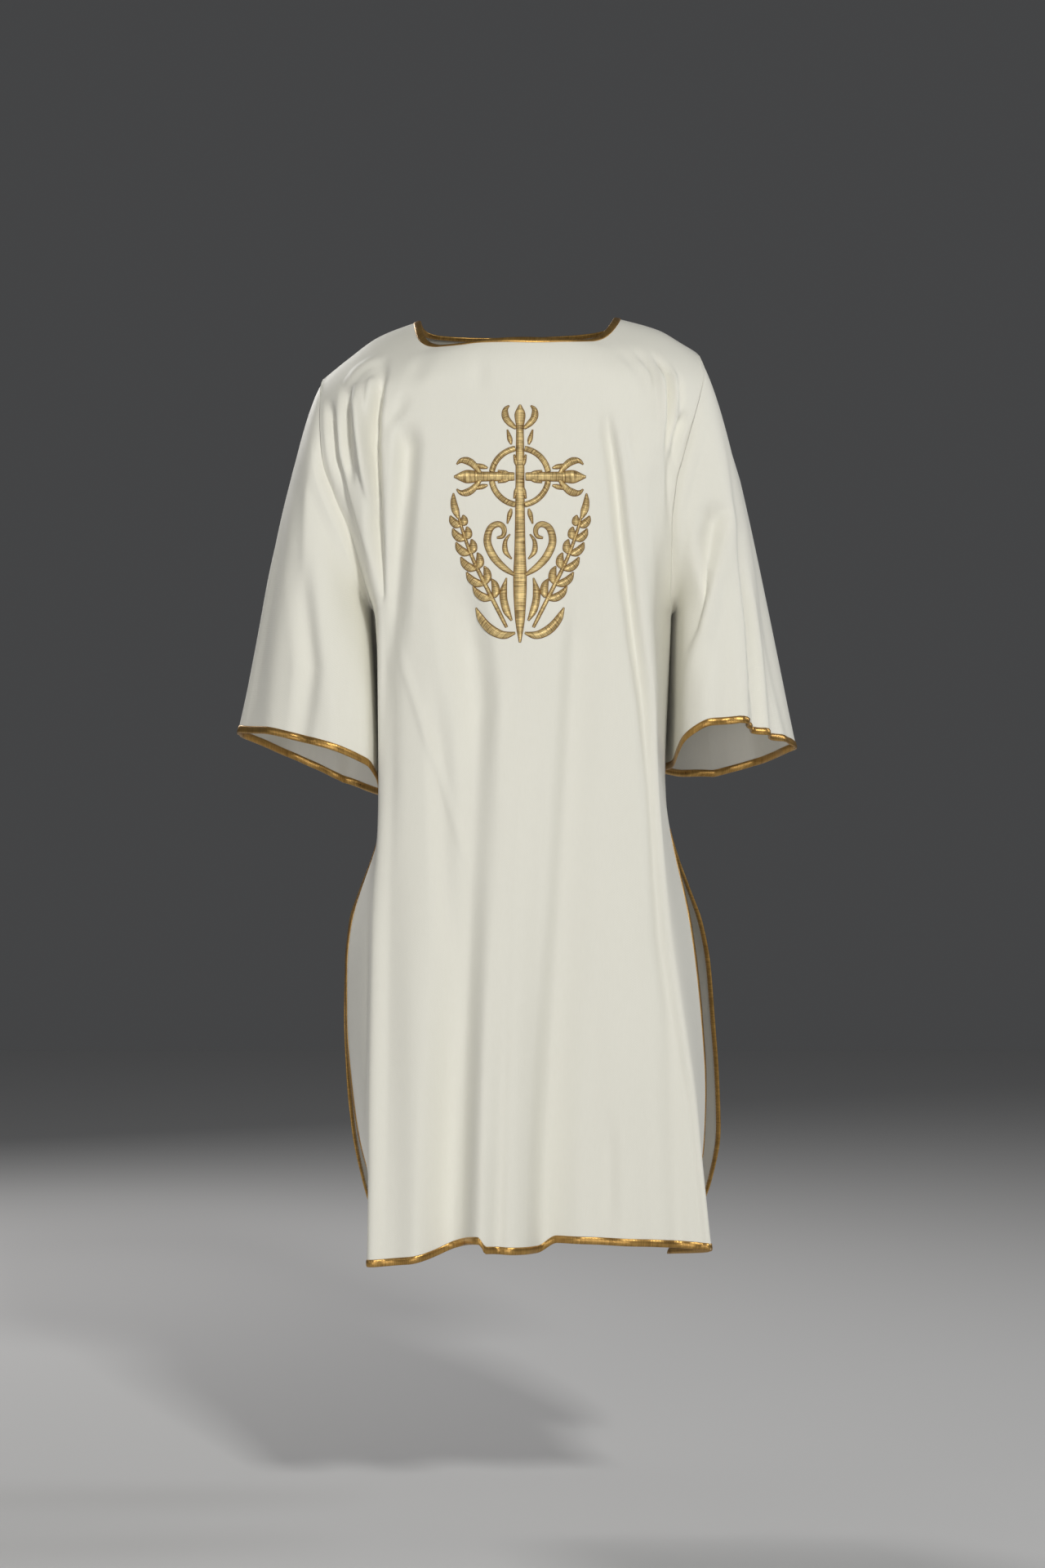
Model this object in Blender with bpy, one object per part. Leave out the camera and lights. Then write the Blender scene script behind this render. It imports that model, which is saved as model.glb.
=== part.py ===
# A dalmatic worn on the shoulders: cream cloth panels and wide sleeves, gold bound edges.
# Metres. Z is up, the front faces minus Y, the wearer's left is plus X.
# The origin is the middle of the line over the shoulders.
import bpy
import numpy as np

for thing in list(bpy.data.objects):
    bpy.data.objects.remove(thing, do_unlink=True)

wall = 0.0016
seam_gap = 0.0004
cloth_rgb = (0.86, 0.84, 0.76, 1.0)
gold_rgb = (0.62, 0.42, 0.16, 1.0)
binding_gap = 0.0003
binding_wall = 0.0008
shoulder_roll = 0.095
emblem_gap = 0.0006
neck_row_share = 0.0245
hem_fade_top = -0.70

# The line over the shoulders: where it would run, from side to side. Columns: x, height.
ridge = np.array([
    (-0.260, -0.092), (-0.235, -0.072), (-0.209, -0.051), (-0.170, -0.023), (-0.1205, -0.004),
    (-0.060, 0.015), (0.000, 0.022), (0.060, 0.017), (0.1185, 0.000), (0.171, -0.015),
    (0.199, -0.031), (0.217, -0.042), (0.245, -0.062),
])

# The shoulder seams, neck to tip. Columns: share of the way, left x, right x.
shoulder_rows = np.array([
    (0.00, -0.1205, 0.1185), (0.07, -0.1285, 0.1265), (0.30, -0.155, 0.149),
    (0.55, -0.184, 0.174), (0.80, -0.213, 0.198), (1.00, -0.235, 0.217),
])

# The armholes, tip to underarm, as the front view shows them. y is before the shoulder rounds it.
# Columns: left x, left y, left height, right x, right y, right height.
front_armhole = np.array([
    (-0.2380, -0.076, -0.078, 0.2205, -0.076, -0.052),
    (-0.2395, -0.076, -0.092, 0.2255, -0.076, -0.070),
    (-0.2400, -0.077, -0.118, 0.2205, -0.078, -0.095),
    (-0.2385, -0.081, -0.148, 0.2110, -0.082, -0.130),
    (-0.2350, -0.084, -0.182, 0.2000, -0.086, -0.170),
    (-0.2210, -0.084, -0.222, 0.1890, -0.087, -0.215),
    (-0.2050, -0.080, -0.262, 0.1850, -0.082, -0.260),
    (-0.1910, -0.068, -0.305, 0.1845, -0.066, -0.305),
    (-0.1820, -0.042, -0.340, 0.1850, -0.042, -0.340),
    (-0.1770, -0.020, -0.358, 0.1865, -0.020, -0.358),
    (-0.1755, 0.000, -0.365, 0.1870, 0.000, -0.365),
])
back_armhole = np.array([
    (-0.2375, 0.074, -0.078, 0.2200, 0.074, -0.052),
    (-0.2380, 0.078, -0.092, 0.2225, 0.078, -0.070),
    (-0.2350, 0.084, -0.118, 0.2180, 0.084, -0.095),
    (-0.2280, 0.090, -0.148, 0.2110, 0.090, -0.130),
    (-0.2190, 0.094, -0.182, 0.2040, 0.094, -0.170),
    (-0.2080, 0.094, -0.222, 0.1970, 0.094, -0.215),
    (-0.1970, 0.088, -0.262, 0.1915, 0.088, -0.260),
    (-0.1875, 0.072, -0.305, 0.1880, 0.072, -0.305),
    (-0.1805, 0.044, -0.340, 0.1870, 0.044, -0.340),
    (-0.1770, 0.020, -0.358, 0.1870, 0.020, -0.358),
    (-0.1755, 0.000, -0.365, 0.1870, 0.000, -0.365),
])

# The lower rows of both panels: side seam down to the slit, then the slit's edges down to the hem.
lower_heights = [-0.41, -0.46, -0.51, -0.56, -0.59, -0.615, -0.655, -0.72, -0.79, -0.86, -0.93, -1.00,
                 -1.06, -1.105, -1.127, -1.135]
slit_top_row = 5
# Columns: height, left x, left y, right x, right y.
front_edges = np.array([
    (-0.365, -0.1755, 0.000, 0.1870, 0.000),
    (-0.460, -0.1660, 0.000, 0.1830, 0.000),
    (-0.560, -0.1590, 0.000, 0.1790, 0.000),
    (-0.590, -0.1610, 0.000, 0.1800, 0.000),
    (-0.615, -0.1650, 0.000, 0.1830, 0.000),
    (-0.655, -0.1760, -0.010, 0.1910, -0.009),
    (-0.700, -0.1930, -0.020, 0.2020, -0.018),
    (-0.740, -0.2050, -0.028, 0.2100, -0.026),
    (-0.790, -0.2100, -0.033, 0.2170, -0.031),
    (-0.860, -0.2095, -0.038, 0.2235, -0.036),
    (-0.930, -0.2030, -0.046, 0.2270, -0.042),
    (-1.000, -0.1920, -0.056, 0.2240, -0.050),
    (-1.060, -0.1730, -0.066, 0.2140, -0.060),
    (-1.135, -0.1500, -0.076, 0.1800, -0.074),
])
back_edges = np.array([
    (-0.365, -0.1755, 0.000, 0.1870, 0.000),
    (-0.460, -0.1660, 0.000, 0.1830, 0.000),
    (-0.560, -0.1590, 0.000, 0.1790, 0.000),
    (-0.590, -0.1610, 0.000, 0.1800, 0.000),
    (-0.615, -0.1650, 0.000, 0.1830, 0.000),
    (-0.655, -0.1770, 0.012, 0.1940, 0.012),
    (-0.700, -0.1950, 0.024, 0.2110, 0.024),
    (-0.740, -0.2080, 0.034, 0.2260, 0.034),
    (-0.790, -0.2130, 0.041, 0.2360, 0.041),
    (-0.860, -0.2150, 0.048, 0.2420, 0.048),
    (-0.930, -0.2125, 0.056, 0.2475, 0.055),
    (-1.000, -0.2060, 0.064, 0.2500, 0.062),
    (-1.060, -0.1940, 0.072, 0.2400, 0.070),
    (-1.135, -0.1720, 0.084, 0.2100, 0.082),
])

# The panels' cross-sections. Each row is a height, and a panel turns back at its two corners.
# Columns: height, left corner x, y, front left y, middle x, middle y, front right y, right corner x, y.
front_sections = np.array([
    (0.020, -0.160, -0.092, -0.100, 0.004, -0.104, -0.100, 0.146, -0.092),
    (-0.100, -0.166, -0.100, -0.121, 0.005, -0.126, -0.122, 0.146, -0.106),
    (-0.200, -0.168, -0.108, -0.134, 0.005, -0.139, -0.135, 0.144, -0.120),
    (-0.300, -0.169, -0.107, -0.139, 0.004, -0.146, -0.141, 0.145, -0.123),
    (-0.365, -0.169, -0.106, -0.141, 0.004, -0.148, -0.143, 0.149, -0.124),
    (-0.460, -0.168, -0.107, -0.144, 0.004, -0.151, -0.146, 0.157, -0.126),
    (-0.570, -0.167, -0.110, -0.148, 0.005, -0.156, -0.150, 0.163, -0.129),
    (-0.750, -0.171, -0.124, -0.156, 0.007, -0.162, -0.156, 0.177, -0.136),
    (-0.950, -0.174, -0.139, -0.162, 0.010, -0.167, -0.162, 0.207, -0.146),
    (-1.135, -0.176, -0.150, -0.168, 0.013, -0.172, -0.170, 0.226, -0.156),
])
back_sections = np.array([
    (0.020, -0.160, 0.082, 0.086, 0.002, 0.088, 0.086, 0.150, 0.082),
    (-0.100, -0.163, 0.104, 0.112, 0.002, 0.114, 0.112, 0.156, 0.104),
    (-0.200, -0.160, 0.116, 0.124, 0.002, 0.125, 0.124, 0.156, 0.116),
    (-0.300, -0.156, 0.112, 0.122, 0.002, 0.124, 0.122, 0.154, 0.112),
    (-0.365, -0.153, 0.108, 0.119, 0.003, 0.122, 0.119, 0.154, 0.108),
    (-0.460, -0.150, 0.104, 0.116, 0.003, 0.119, 0.116, 0.154, 0.104),
    (-0.570, -0.154, 0.110, 0.123, 0.004, 0.126, 0.123, 0.160, 0.110),
    (-0.750, -0.170, 0.122, 0.138, 0.006, 0.141, 0.138, 0.182, 0.122),
    (-0.950, -0.180, 0.134, 0.149, 0.008, 0.152, 0.149, 0.205, 0.134),
    (-1.135, -0.184, 0.142, 0.157, 0.010, 0.160, 0.157, 0.214, 0.142),
])
section_shares = np.array([-1.0, -0.72, -0.36, 0.0, 0.36, 0.72, 1.0])

# The free edge of each neckline in the front view. Columns: share across, x, height.
front_neck = np.array([
    (-1.00, -0.1205, -0.004), (-0.93, -0.1190, -0.013), (-0.86, -0.1165, -0.0235),
    (-0.79, -0.1120, -0.0335), (-0.71, -0.1035, -0.0405), (-0.62, -0.0910, -0.0435),
    (-0.45, -0.0650, -0.0420), (-0.25, -0.0380, -0.0380), (0.00, 0.0030, -0.0360),
    (0.25, 0.0400, -0.0365), (0.45, 0.0640, -0.0375), (0.62, 0.0820, -0.0370),
    (0.71, 0.0925, -0.0340), (0.79, 0.1010, -0.0280), (0.86, 0.1080, -0.0195),
    (0.93, 0.1140, -0.0095), (1.00, 0.1185, 0.000),
])
back_neck = np.array([
    (-1.00, -0.1205, -0.004), (-0.90, -0.1185, -0.0085), (-0.78, -0.1120, -0.0130),
    (-0.64, -0.0960, -0.0155), (-0.40, -0.0580, -0.0160), (0.00, 0.0020, -0.0155),
    (0.40, 0.0580, -0.0140), (0.64, 0.0940, -0.0120), (0.78, 0.1095, -0.0095),
    (0.90, 0.1165, -0.0050), (1.00, 0.1185, 0.000),
])

# The hems hang a little unevenly. Columns: share across, height against the last row.
front_hem = np.array([
    (-1.00, 0.000), (-0.72, -0.006), (-0.50, -0.001), (-0.32, 0.018), (-0.215, 0.025),
    (-0.17, 0.016), (0.04, 0.013), (0.11, 0.026), (0.35, 0.023), (0.72, 0.021), (1.00, 0.000),
])
back_hem = np.array([(-1.00, 0.000), (-0.72, -0.008), (0.00, -0.004), (0.72, -0.008), (1.00, 0.000)])

front_shares = [-1.0, -0.978, -0.88, -0.80, -0.74, -0.69, -0.62, -0.54, -0.45, -0.37, -0.30, -0.245,
                -0.21, -0.18, -0.14, -0.07, 0.0, 0.06, 0.12, 0.20, 0.30, 0.41, 0.52, 0.62, 0.69, 0.74,
                0.80, 0.88, 0.978, 1.0]
back_shares = [-1.0, -0.978, -0.88, -0.80, -0.73, -0.64, -0.54, -0.44, -0.34, -0.24, -0.14, -0.05,
               0.05, 0.14, 0.24, 0.34, 0.44, 0.54, 0.64, 0.73, 0.80, 0.88, 0.978, 1.0]

# The main folds, as front or back view lines. A minus depth is a trough.
# Columns: name, depth, width to its left, width to its right, then points of x, height, share of depth.
front_folds = [
    ("left arm trough", -0.013, 0.034, 0.022,
     [(-0.163, -0.060, 0.2), (-0.166, -0.110, 0.8), (-0.171, -0.170, 1.0), (-0.170, -0.260, 0.8),
      (-0.170, -0.340, 0.3)]),
    ("left shoulder roll", 0.004, 0.024, 0.024,
     [(-0.196, -0.110, 0.3), (-0.194, -0.180, 1.0), (-0.184, -0.260, 0.6)]),
    ("left chest trough", -0.006, 0.024, 0.030,
     [(-0.137, -0.100, 0.0), (-0.132, -0.180, 1.0), (-0.138, -0.280, 0.8), (-0.150, -0.380, 0.0)]),
    ("right shoulder trough", -0.010, 0.018, 0.014,
     [(0.172, -0.075, 0.2), (0.180, -0.120, 1.0), (0.180, -0.200, 0.8), (0.179, -0.260, 0.0)]),
    ("right chest crease", 0.004, 0.026, 0.022,
     [(0.112, -0.140, 0.0), (0.132, -0.290, 1.0), (0.150, -0.400, 0.6), (0.160, -0.520, 0.0)]),
    ("centre trough", -0.018, 0.055, 0.034,
     [(-0.066, -0.400, 0.0), (-0.048, -0.620, 0.4), (-0.046, -0.850, 0.8), (-0.050, -1.140, 1.0)]),
    ("centre ridge", 0.029, 0.022, 0.052,
     [(-0.008, -0.520, 0.0), (-0.010, -0.760, 0.3), (-0.013, -0.960, 0.7), (-0.018, -1.140, 1.0)]),
    ("right trough", -0.011, 0.034, 0.050,
     [(0.036, -0.560, 0.0), (0.036, -0.800, 0.5), (0.048, -1.140, 1.0)]),
    ("right ridge", 0.008, 0.040, 0.050,
     [(0.118, -0.700, 0.0), (0.122, -0.950, 0.7), (0.126, -1.140, 1.0)]),
    ("left ridge", 0.007, 0.040, 0.040,
     [(-0.118, -0.650, 0.0), (-0.120, -0.900, 0.8), (-0.122, -1.140, 1.0)]),
]
back_folds = [
    ("left back trough", -0.014, 0.036, 0.030,
     [(-0.138, -0.200, 0.0), (-0.118, -0.420, 0.7), (-0.112, -0.800, 1.0), (-0.118, -1.140, 1.0)]),
    ("left back ridge", 0.012, 0.036, 0.040,
     [(-0.062, -0.420, 0.0), (-0.058, -0.800, 0.8), (-0.060, -1.140, 1.0)]),
    ("middle back trough", -0.013, 0.040, 0.036,
     [(0.010, -0.360, 0.0), (0.004, -0.700, 0.7), (0.000, -1.140, 1.0)]),
    ("right back ridge", 0.012, 0.034, 0.042,
     [(0.070, -0.460, 0.0), (0.074, -0.820, 0.9), (0.080, -1.140, 1.0)]),
    ("right back trough", -0.015, 0.034, 0.034,
     [(0.136, -0.210, 0.0), (0.126, -0.460, 0.8), (0.140, -0.850, 1.0), (0.150, -1.140, 0.9)]),
]
sleeve_folds = {
    "left": [
        ("front trough", -0.008, 0.030, 0.026,
         [(-0.222, -0.215, 0.0), (-0.214, -0.290, 1.0), (-0.200, -0.380, 0.6), (-0.196, -0.480, 0.0)]),
        ("front ridge", 0.006, 0.036, 0.030,
         [(-0.250, -0.270, 0.0), (-0.252, -0.400, 1.0), (-0.256, -0.520, 1.0)]),
        ("cuff trough", -0.006, 0.026, 0.030,
         [(-0.222, -0.400, 0.0), (-0.222, -0.460, 0.8), (-0.224, -0.530, 1.0)]),
    ],
    "right": [
        ("first ridge", 0.009, 0.024, 0.014,
         [(0.253, -0.200, 0.0), (0.259, -0.330, 0.7), (0.266, -0.440, 1.0), (0.268, -0.510, 1.0)]),
        ("first trough", -0.010, 0.012, 0.018,
         [(0.262, -0.260, 0.0), (0.274, -0.370, 0.7), (0.284, -0.450, 1.0), (0.288, -0.520, 1.0)]),
        ("second ridge", 0.006, 0.014, 0.016,
         [(0.284, -0.340, 0.0), (0.296, -0.440, 0.8), (0.304, -0.520, 1.0)]),
        ("front trough", -0.007, 0.026, 0.030,
         [(0.232, -0.220, 0.0), (0.228, -0.320, 0.8), (0.214, -0.420, 0.6), (0.206, -0.520, 0.2)]),
    ],
}
sleeve_back_folds = {
    "left": [
        ("back trough", -0.012, 0.030, 0.034,
         [(-0.214, -0.230, 0.0), (-0.222, -0.380, 0.9), (-0.230, -0.560, 1.0)]),
        ("back ridge", 0.008, 0.030, 0.030,
         [(-0.262, -0.260, 0.0), (-0.278, -0.400, 0.8), (-0.290, -0.560, 1.0)]),
    ],
    "right": [
        ("back trough", -0.012, 0.034, 0.030,
         [(0.214, -0.230, 0.0), (0.232, -0.380, 0.9), (0.246, -0.560, 1.0)]),
        ("back ridge", 0.009, 0.030, 0.030,
         [(0.262, -0.250, 0.0), (0.284, -0.400, 0.8), (0.296, -0.560, 1.0)]),
    ],
}

# How a sleeve leaves its armhole and reaches its cuff, round from the top over the front.
# The pulls are for the right sleeve, and the left has x the other way.
# Columns: share round, then first pull x, y, z, then last pull x, y, z.
sleeve_pulls = np.array([
    (0.00, 0.030, 0.000, -0.045, -0.038, 0.000, 0.170),
    (0.12, 0.030, -0.014, -0.050, -0.030, 0.012, 0.170),
    (0.25, 0.030, -0.010, -0.050, -0.016, 0.016, 0.160),
    (0.36, 0.032, 0.004, -0.032, -0.006, 0.006, 0.150),
    (0.44, 0.022, 0.012, 0.002, -0.003, 0.000, 0.160),
    (0.50, 0.012, 0.000, 0.022, 0.006, 0.000, 0.190),
    (0.56, 0.018, -0.010, 0.000, -0.012, 0.000, 0.160),
    (0.64, 0.028, -0.002, -0.034, -0.018, -0.010, 0.150),
    (0.75, 0.030, 0.012, -0.050, -0.016, -0.020, 0.160),
    (0.88, 0.030, 0.014, -0.050, -0.030, -0.016, 0.170),
    (1.00, 0.030, 0.000, -0.045, -0.038, 0.000, 0.170),
])
# The cuffs, round from the outer corner over the front. Columns: share round, x, y, height.
cuffs = {
    "left": np.array([
        (0.00, -0.346, 0.004, -0.5075), (0.06, -0.332, -0.040, -0.5075), (0.13, -0.304, -0.080, -0.509),
        (0.22, -0.270, -0.106, -0.516), (0.30, -0.238, -0.116, -0.524), (0.37, -0.208, -0.114, -0.534),
        (0.43, -0.182, -0.100, -0.548), (0.47, -0.170, -0.070, -0.566), (0.50, -0.168, -0.010, -0.583),
        (0.55, -0.172, 0.060, -0.584), (0.62, -0.190, 0.100, -0.578), (0.70, -0.222, 0.124, -0.564),
        (0.80, -0.272, 0.118, -0.543), (0.90, -0.318, 0.080, -0.522), (0.96, -0.340, 0.040, -0.512),
        (1.00, -0.346, 0.004, -0.5075),
    ]),
    "right": np.array([
        (0.00, 0.3390, 0.010, -0.526), (0.05, 0.3330, -0.022, -0.5185), (0.12, 0.3080, -0.060, -0.513),
        (0.19, 0.2850, -0.084, -0.506), (0.26, 0.2600, -0.104, -0.4975), (0.33, 0.2330, -0.112, -0.499),
        (0.39, 0.2120, -0.106, -0.508), (0.44, 0.1970, -0.086, -0.522), (0.50, 0.1900, -0.020, -0.546),
        (0.56, 0.1920, 0.050, -0.554), (0.63, 0.2080, 0.096, -0.560), (0.72, 0.2450, 0.118, -0.558),
        (0.82, 0.2880, 0.106, -0.549), (0.91, 0.3220, 0.070, -0.536), (0.96, 0.3360, 0.040, -0.529),
        (1.00, 0.3390, 0.010, -0.526),
    ]),
}
sleeve_rows = [0.0, 0.035, 0.085, 0.15, 0.23, 0.32, 0.42, 0.53, 0.65, 0.77, 0.89, 0.982, 1.0]

# The raised gold work on the chest: a cross on a ring with two leaves under it.
# Columns: name, raised height, then points of x, height, width.
emblem_strips = [
    ("emblem_stem", 0.0016, [(0.002, -0.118, 0.006), (0.002, -0.140, 0.014), (0.002, -0.170, 0.010),
                             (0.002, -0.215, 0.010), (0.002, -0.260, 0.012), (0.002, -0.300, 0.014),
                             (0.002, -0.338, 0.018), (0.002, -0.378, 0.012), (0.002, -0.402, 0.004)]),
    ("emblem_left_arm", 0.0016, [(-0.006, -0.205, 0.010), (-0.030, -0.205, 0.010),
                                 (-0.052, -0.205, 0.013), (-0.066, -0.205, 0.020),
                                 (-0.074, -0.205, 0.006)]),
    ("emblem_right_arm", 0.0016, [(0.010, -0.205, 0.010), (0.034, -0.205, 0.010),
                                  (0.056, -0.205, 0.013), (0.070, -0.205, 0.020),
                                  (0.078, -0.205, 0.006)]),
    ("emblem_left_leaf", 0.0018, [(-0.010, -0.372, 0.006), (-0.028, -0.352, 0.014),
                                  (-0.046, -0.326, 0.018), (-0.060, -0.296, 0.015),
                                  (-0.072, -0.264, 0.010), (-0.078, -0.246, 0.004)]),
    ("emblem_right_leaf", 0.0018, [(0.014, -0.372, 0.006), (0.032, -0.352, 0.014),
                                   (0.050, -0.326, 0.018), (0.064, -0.296, 0.015),
                                   (0.076, -0.264, 0.010), (0.082, -0.246, 0.004)]),
]


def curve(at, places, values):
    """A smooth curve through a table's values that never swings past them."""
    places = np.asarray(places, float)
    values = np.asarray(values, float)
    gaps = np.diff(places)
    slopes = np.diff(values) / gaps
    steep = np.zeros(len(places))
    steep[0] = slopes[0]
    steep[-1] = slopes[-1]
    for i in range(1, len(places) - 1):
        a, b = slopes[i - 1], slopes[i]
        if a * b > 0:
            steep[i] = 2 * a * b / (a + b)
    at = np.clip(np.asarray(at, float), places[0], places[-1])
    k = np.clip(np.searchsorted(places, at, side="right") - 1, 0, len(gaps) - 1)
    h = gaps[k]
    u = (at - places[k]) / h
    low = values[k] * (1 + 2 * u) * (1 - u) ** 2 + h * steep[k] * u * (1 - u) ** 2
    high = values[k + 1] * u * u * (3 - 2 * u) - h * steep[k + 1] * u * u * (1 - u)
    return low + high


def by_height(table, column, height):
    """A table's column at a height, its rows running downward."""
    return curve(-np.asarray(height, float), -table[:, 0], table[:, column])


def loop_curve(at, table, column):
    """A table's column round a closed loop, smooth where it closes."""
    places = np.concatenate([table[-3:-1, 0] - 1, table[:, 0], table[1:3, 0] + 1])
    values = np.concatenate([table[-3:-1, column], table[:, column], table[1:3, column]])
    return curve(at, places, values)


def round_over(x, height):
    """How far the cloth has rounded over the shoulder: 0 on the seam line, 1 below the roll."""
    ahead = (curve(x, ridge[:, 0], ridge[:, 1]) - height) / shoulder_roll
    ahead = np.clip(ahead, 0, 1)
    return np.sqrt(1 - (1 - ahead) ** 2)


def fold_lift(x, height, folds):
    """How far the folds move each point out of the cloth, from the front view."""
    total = np.zeros_like(x)
    for _, depth, to_left, to_right, line in folds:
        nearest = np.full_like(x, 9.0)
        lift = np.zeros_like(x)
        for (x0, z0, part0), (x1, z1, part1) in zip(line[:-1], line[1:]):
            along = (x - x0) * (x1 - x0) + (height - z0) * (z1 - z0)
            along = along / ((x1 - x0) ** 2 + (z1 - z0) ** 2)
            held = np.clip(along, 0, 1)
            dx = x - (x0 + held * (x1 - x0))
            dz = height - (z0 + held * (z1 - z0))
            away = np.hypot(dx, dz)
            reach = np.where(dx < 0, to_left, to_right)
            shape = np.where(away < reach, np.cos(np.pi / 2 * np.clip(away / reach, 0, 1)) ** 2, 0)
            here = depth * (part0 + held * (part1 - part0)) * shape
            closer = away < nearest
            nearest = np.where(closer, away, nearest)
            lift = np.where(closer, here, lift)
        total = total + lift
    return total


def normals_of(grid, closed=False):
    """The unit normal at each point of a grid of rows and columns."""
    down = np.gradient(grid, axis=0)
    if closed:
        across = np.roll(grid, -1, axis=1) - np.roll(grid, 1, axis=1)
    else:
        across = np.gradient(grid, axis=1)
    out = np.cross(down, across)
    return out / np.linalg.norm(out, axis=2, keepdims=True)


def panel_grid(side, shares, neck, armhole, edges, sections, hem, folds):
    """A panel's middle surface: row by row from neckline to hem, column by column across."""
    shares = np.array(shares)
    mid = (shares + 1) / 2
    tips = len(shoulder_rows)
    seam_left = np.stack([shoulder_rows[:, 1], curve(shoulder_rows[:, 1], ridge[:, 0], ridge[:, 1])], 1)
    seam_right = np.stack([shoulder_rows[:, 2], curve(shoulder_rows[:, 2], ridge[:, 0], ridge[:, 1])], 1)
    left = np.concatenate([seam_left, armhole[:, [0, 2]]])
    right = np.concatenate([seam_right, armhole[:, [3, 5]]])
    top = np.stack([curve(shares, neck[:, 0], neck[:, 1]), curve(shares, neck[:, 0], neck[:, 2])], 1)
    top[0] = left[0]
    top[-1] = right[0]
    under = armhole[-1, 2]
    rows = len(left) - 1

    def section(height):
        x = np.array([
            by_height(edges, 1, height), by_height(sections, 1, height), 0,
            by_height(sections, 4, height), 0, by_height(sections, 7, height),
            by_height(edges, 3, height),
        ], float)
        x[2] = 0.52 * x[1] + 0.48 * x[3]
        x[4] = 0.52 * x[5] + 0.48 * x[3]
        y = np.array([
            by_height(edges, 2, height), by_height(sections, 2, height), by_height(sections, 3, height),
            by_height(sections, 5, height), by_height(sections, 6, height),
            by_height(sections, 8, height), by_height(edges, 4, height),
        ], float)
        return x, y

    x, y = section(under)
    bottom = np.stack([curve(shares, section_shares, x), np.full(len(shares), under)], 1)
    # The upper part is spread between its four borders.
    length = np.concatenate([[0], np.cumsum(np.linalg.norm(np.diff(left, axis=0), axis=1))])
    length = length / length[-1]
    upper = []
    for i in range(rows + 1):
        t = length[i]
        if i == 1:
            t = neck_row_share
        flat = (1 - t) * top + t * bottom
        sides = (1 - mid)[:, None] * left[i] + mid[:, None] * right[i]
        corners = (1 - mid)[:, None] * ((1 - t) * left[0] + t * left[-1])
        corners = corners + mid[:, None] * ((1 - t) * right[0] + t * right[-1])
        upper.append(flat + sides - corners)
    upper = np.array(upper)
    grid = np.zeros((rows + 1 + len(lower_heights), len(shares), 3))
    edge_y = np.zeros((rows + 1, 2))
    edge_y[tips:, 0] = armhole[:, 1]
    edge_y[tips:, 1] = armhole[:, 4]
    edge_y[:tips] = armhole[0, [1, 4]]
    for i in range(rows + 1):
        for j, share in enumerate(shares):
            ux, uz = upper[i, j]
            _, y = section(uz)
            y[0] = edge_y[i, 0]
            y[-1] = edge_y[i, 1]
            grid[i, j] = (ux, curve(share, section_shares, y) * round_over(ux, uz), uz)
    lift = curve(shares, hem[:, 0], hem[:, 1])
    for k, height in enumerate(lower_heights):
        fade = np.clip((height - hem_fade_top) / (lower_heights[-1] - hem_fade_top), 0, 1)
        x, y = section(height)
        grid[rows + 1 + k, :, 0] = curve(shares, section_shares, x)
        grid[rows + 1 + k, :, 1] = curve(shares, section_shares, y)
        grid[rows + 1 + k, :, 2] = height + lift * fade ** 1.5
    out = normals_of(grid)
    if side == "back":
        out = -out
    facing = np.clip(out[:, :, 1] * (-1 if side == "front" else 1), 0, 1)
    moved = fold_lift(grid[:, :, 0], grid[:, :, 2], folds)
    grid = grid + out * (moved * facing)[:, :, None]
    # The two panels meet along these seams, a little apart.
    sign = -1 if side == "front" else 1
    seam_rows = list(range(tips)) + list(range(rows, rows + 2 + slit_top_row))
    for i in seam_rows:
        for j in (0, -1):
            grid[i, j, 1] = sign * seam_gap / 2
    out = normals_of(grid)
    if side == "back":
        out = -out
    for i in seam_rows:
        for j in (0, -1):
            out[i, j, 1] = 0
            out[i, j] /= np.linalg.norm(out[i, j])
    return grid, out, tips - 1, rows


def make_solid(name, points, faces, rgb):
    mesh = bpy.data.meshes.new(name)
    mesh.from_pydata([tuple(p) for p in points], [], [tuple(f) for f in faces])
    mesh.validate()
    solid = bpy.data.objects.new(name, mesh)
    bpy.context.scene.collection.objects.link(solid)
    look = bpy.data.materials.get(rgb[0])
    if look is None:
        look = bpy.data.materials.new(rgb[0])
        look.use_nodes = True
        shader = look.node_tree.nodes["Principled BSDF"]
        shader.inputs["Base Color"].default_value = rgb[1]
        shader.inputs["Roughness"].default_value = rgb[2]
    mesh.materials.append(look)
    volume = 0.0
    points = np.asarray(points)
    for face in mesh.polygons:
        a, b, c = (points[i] for i in face.vertices[:3])
        volume += np.dot(a, np.cross(b, c))
    if volume < 0:
        mesh.flip_normals()
    return solid


def quad(a, b, c, d):
    """Two triangles, always split from a to c, so that neighbours split alike."""
    return [(a, b, c), (a, c, d)]


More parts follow.
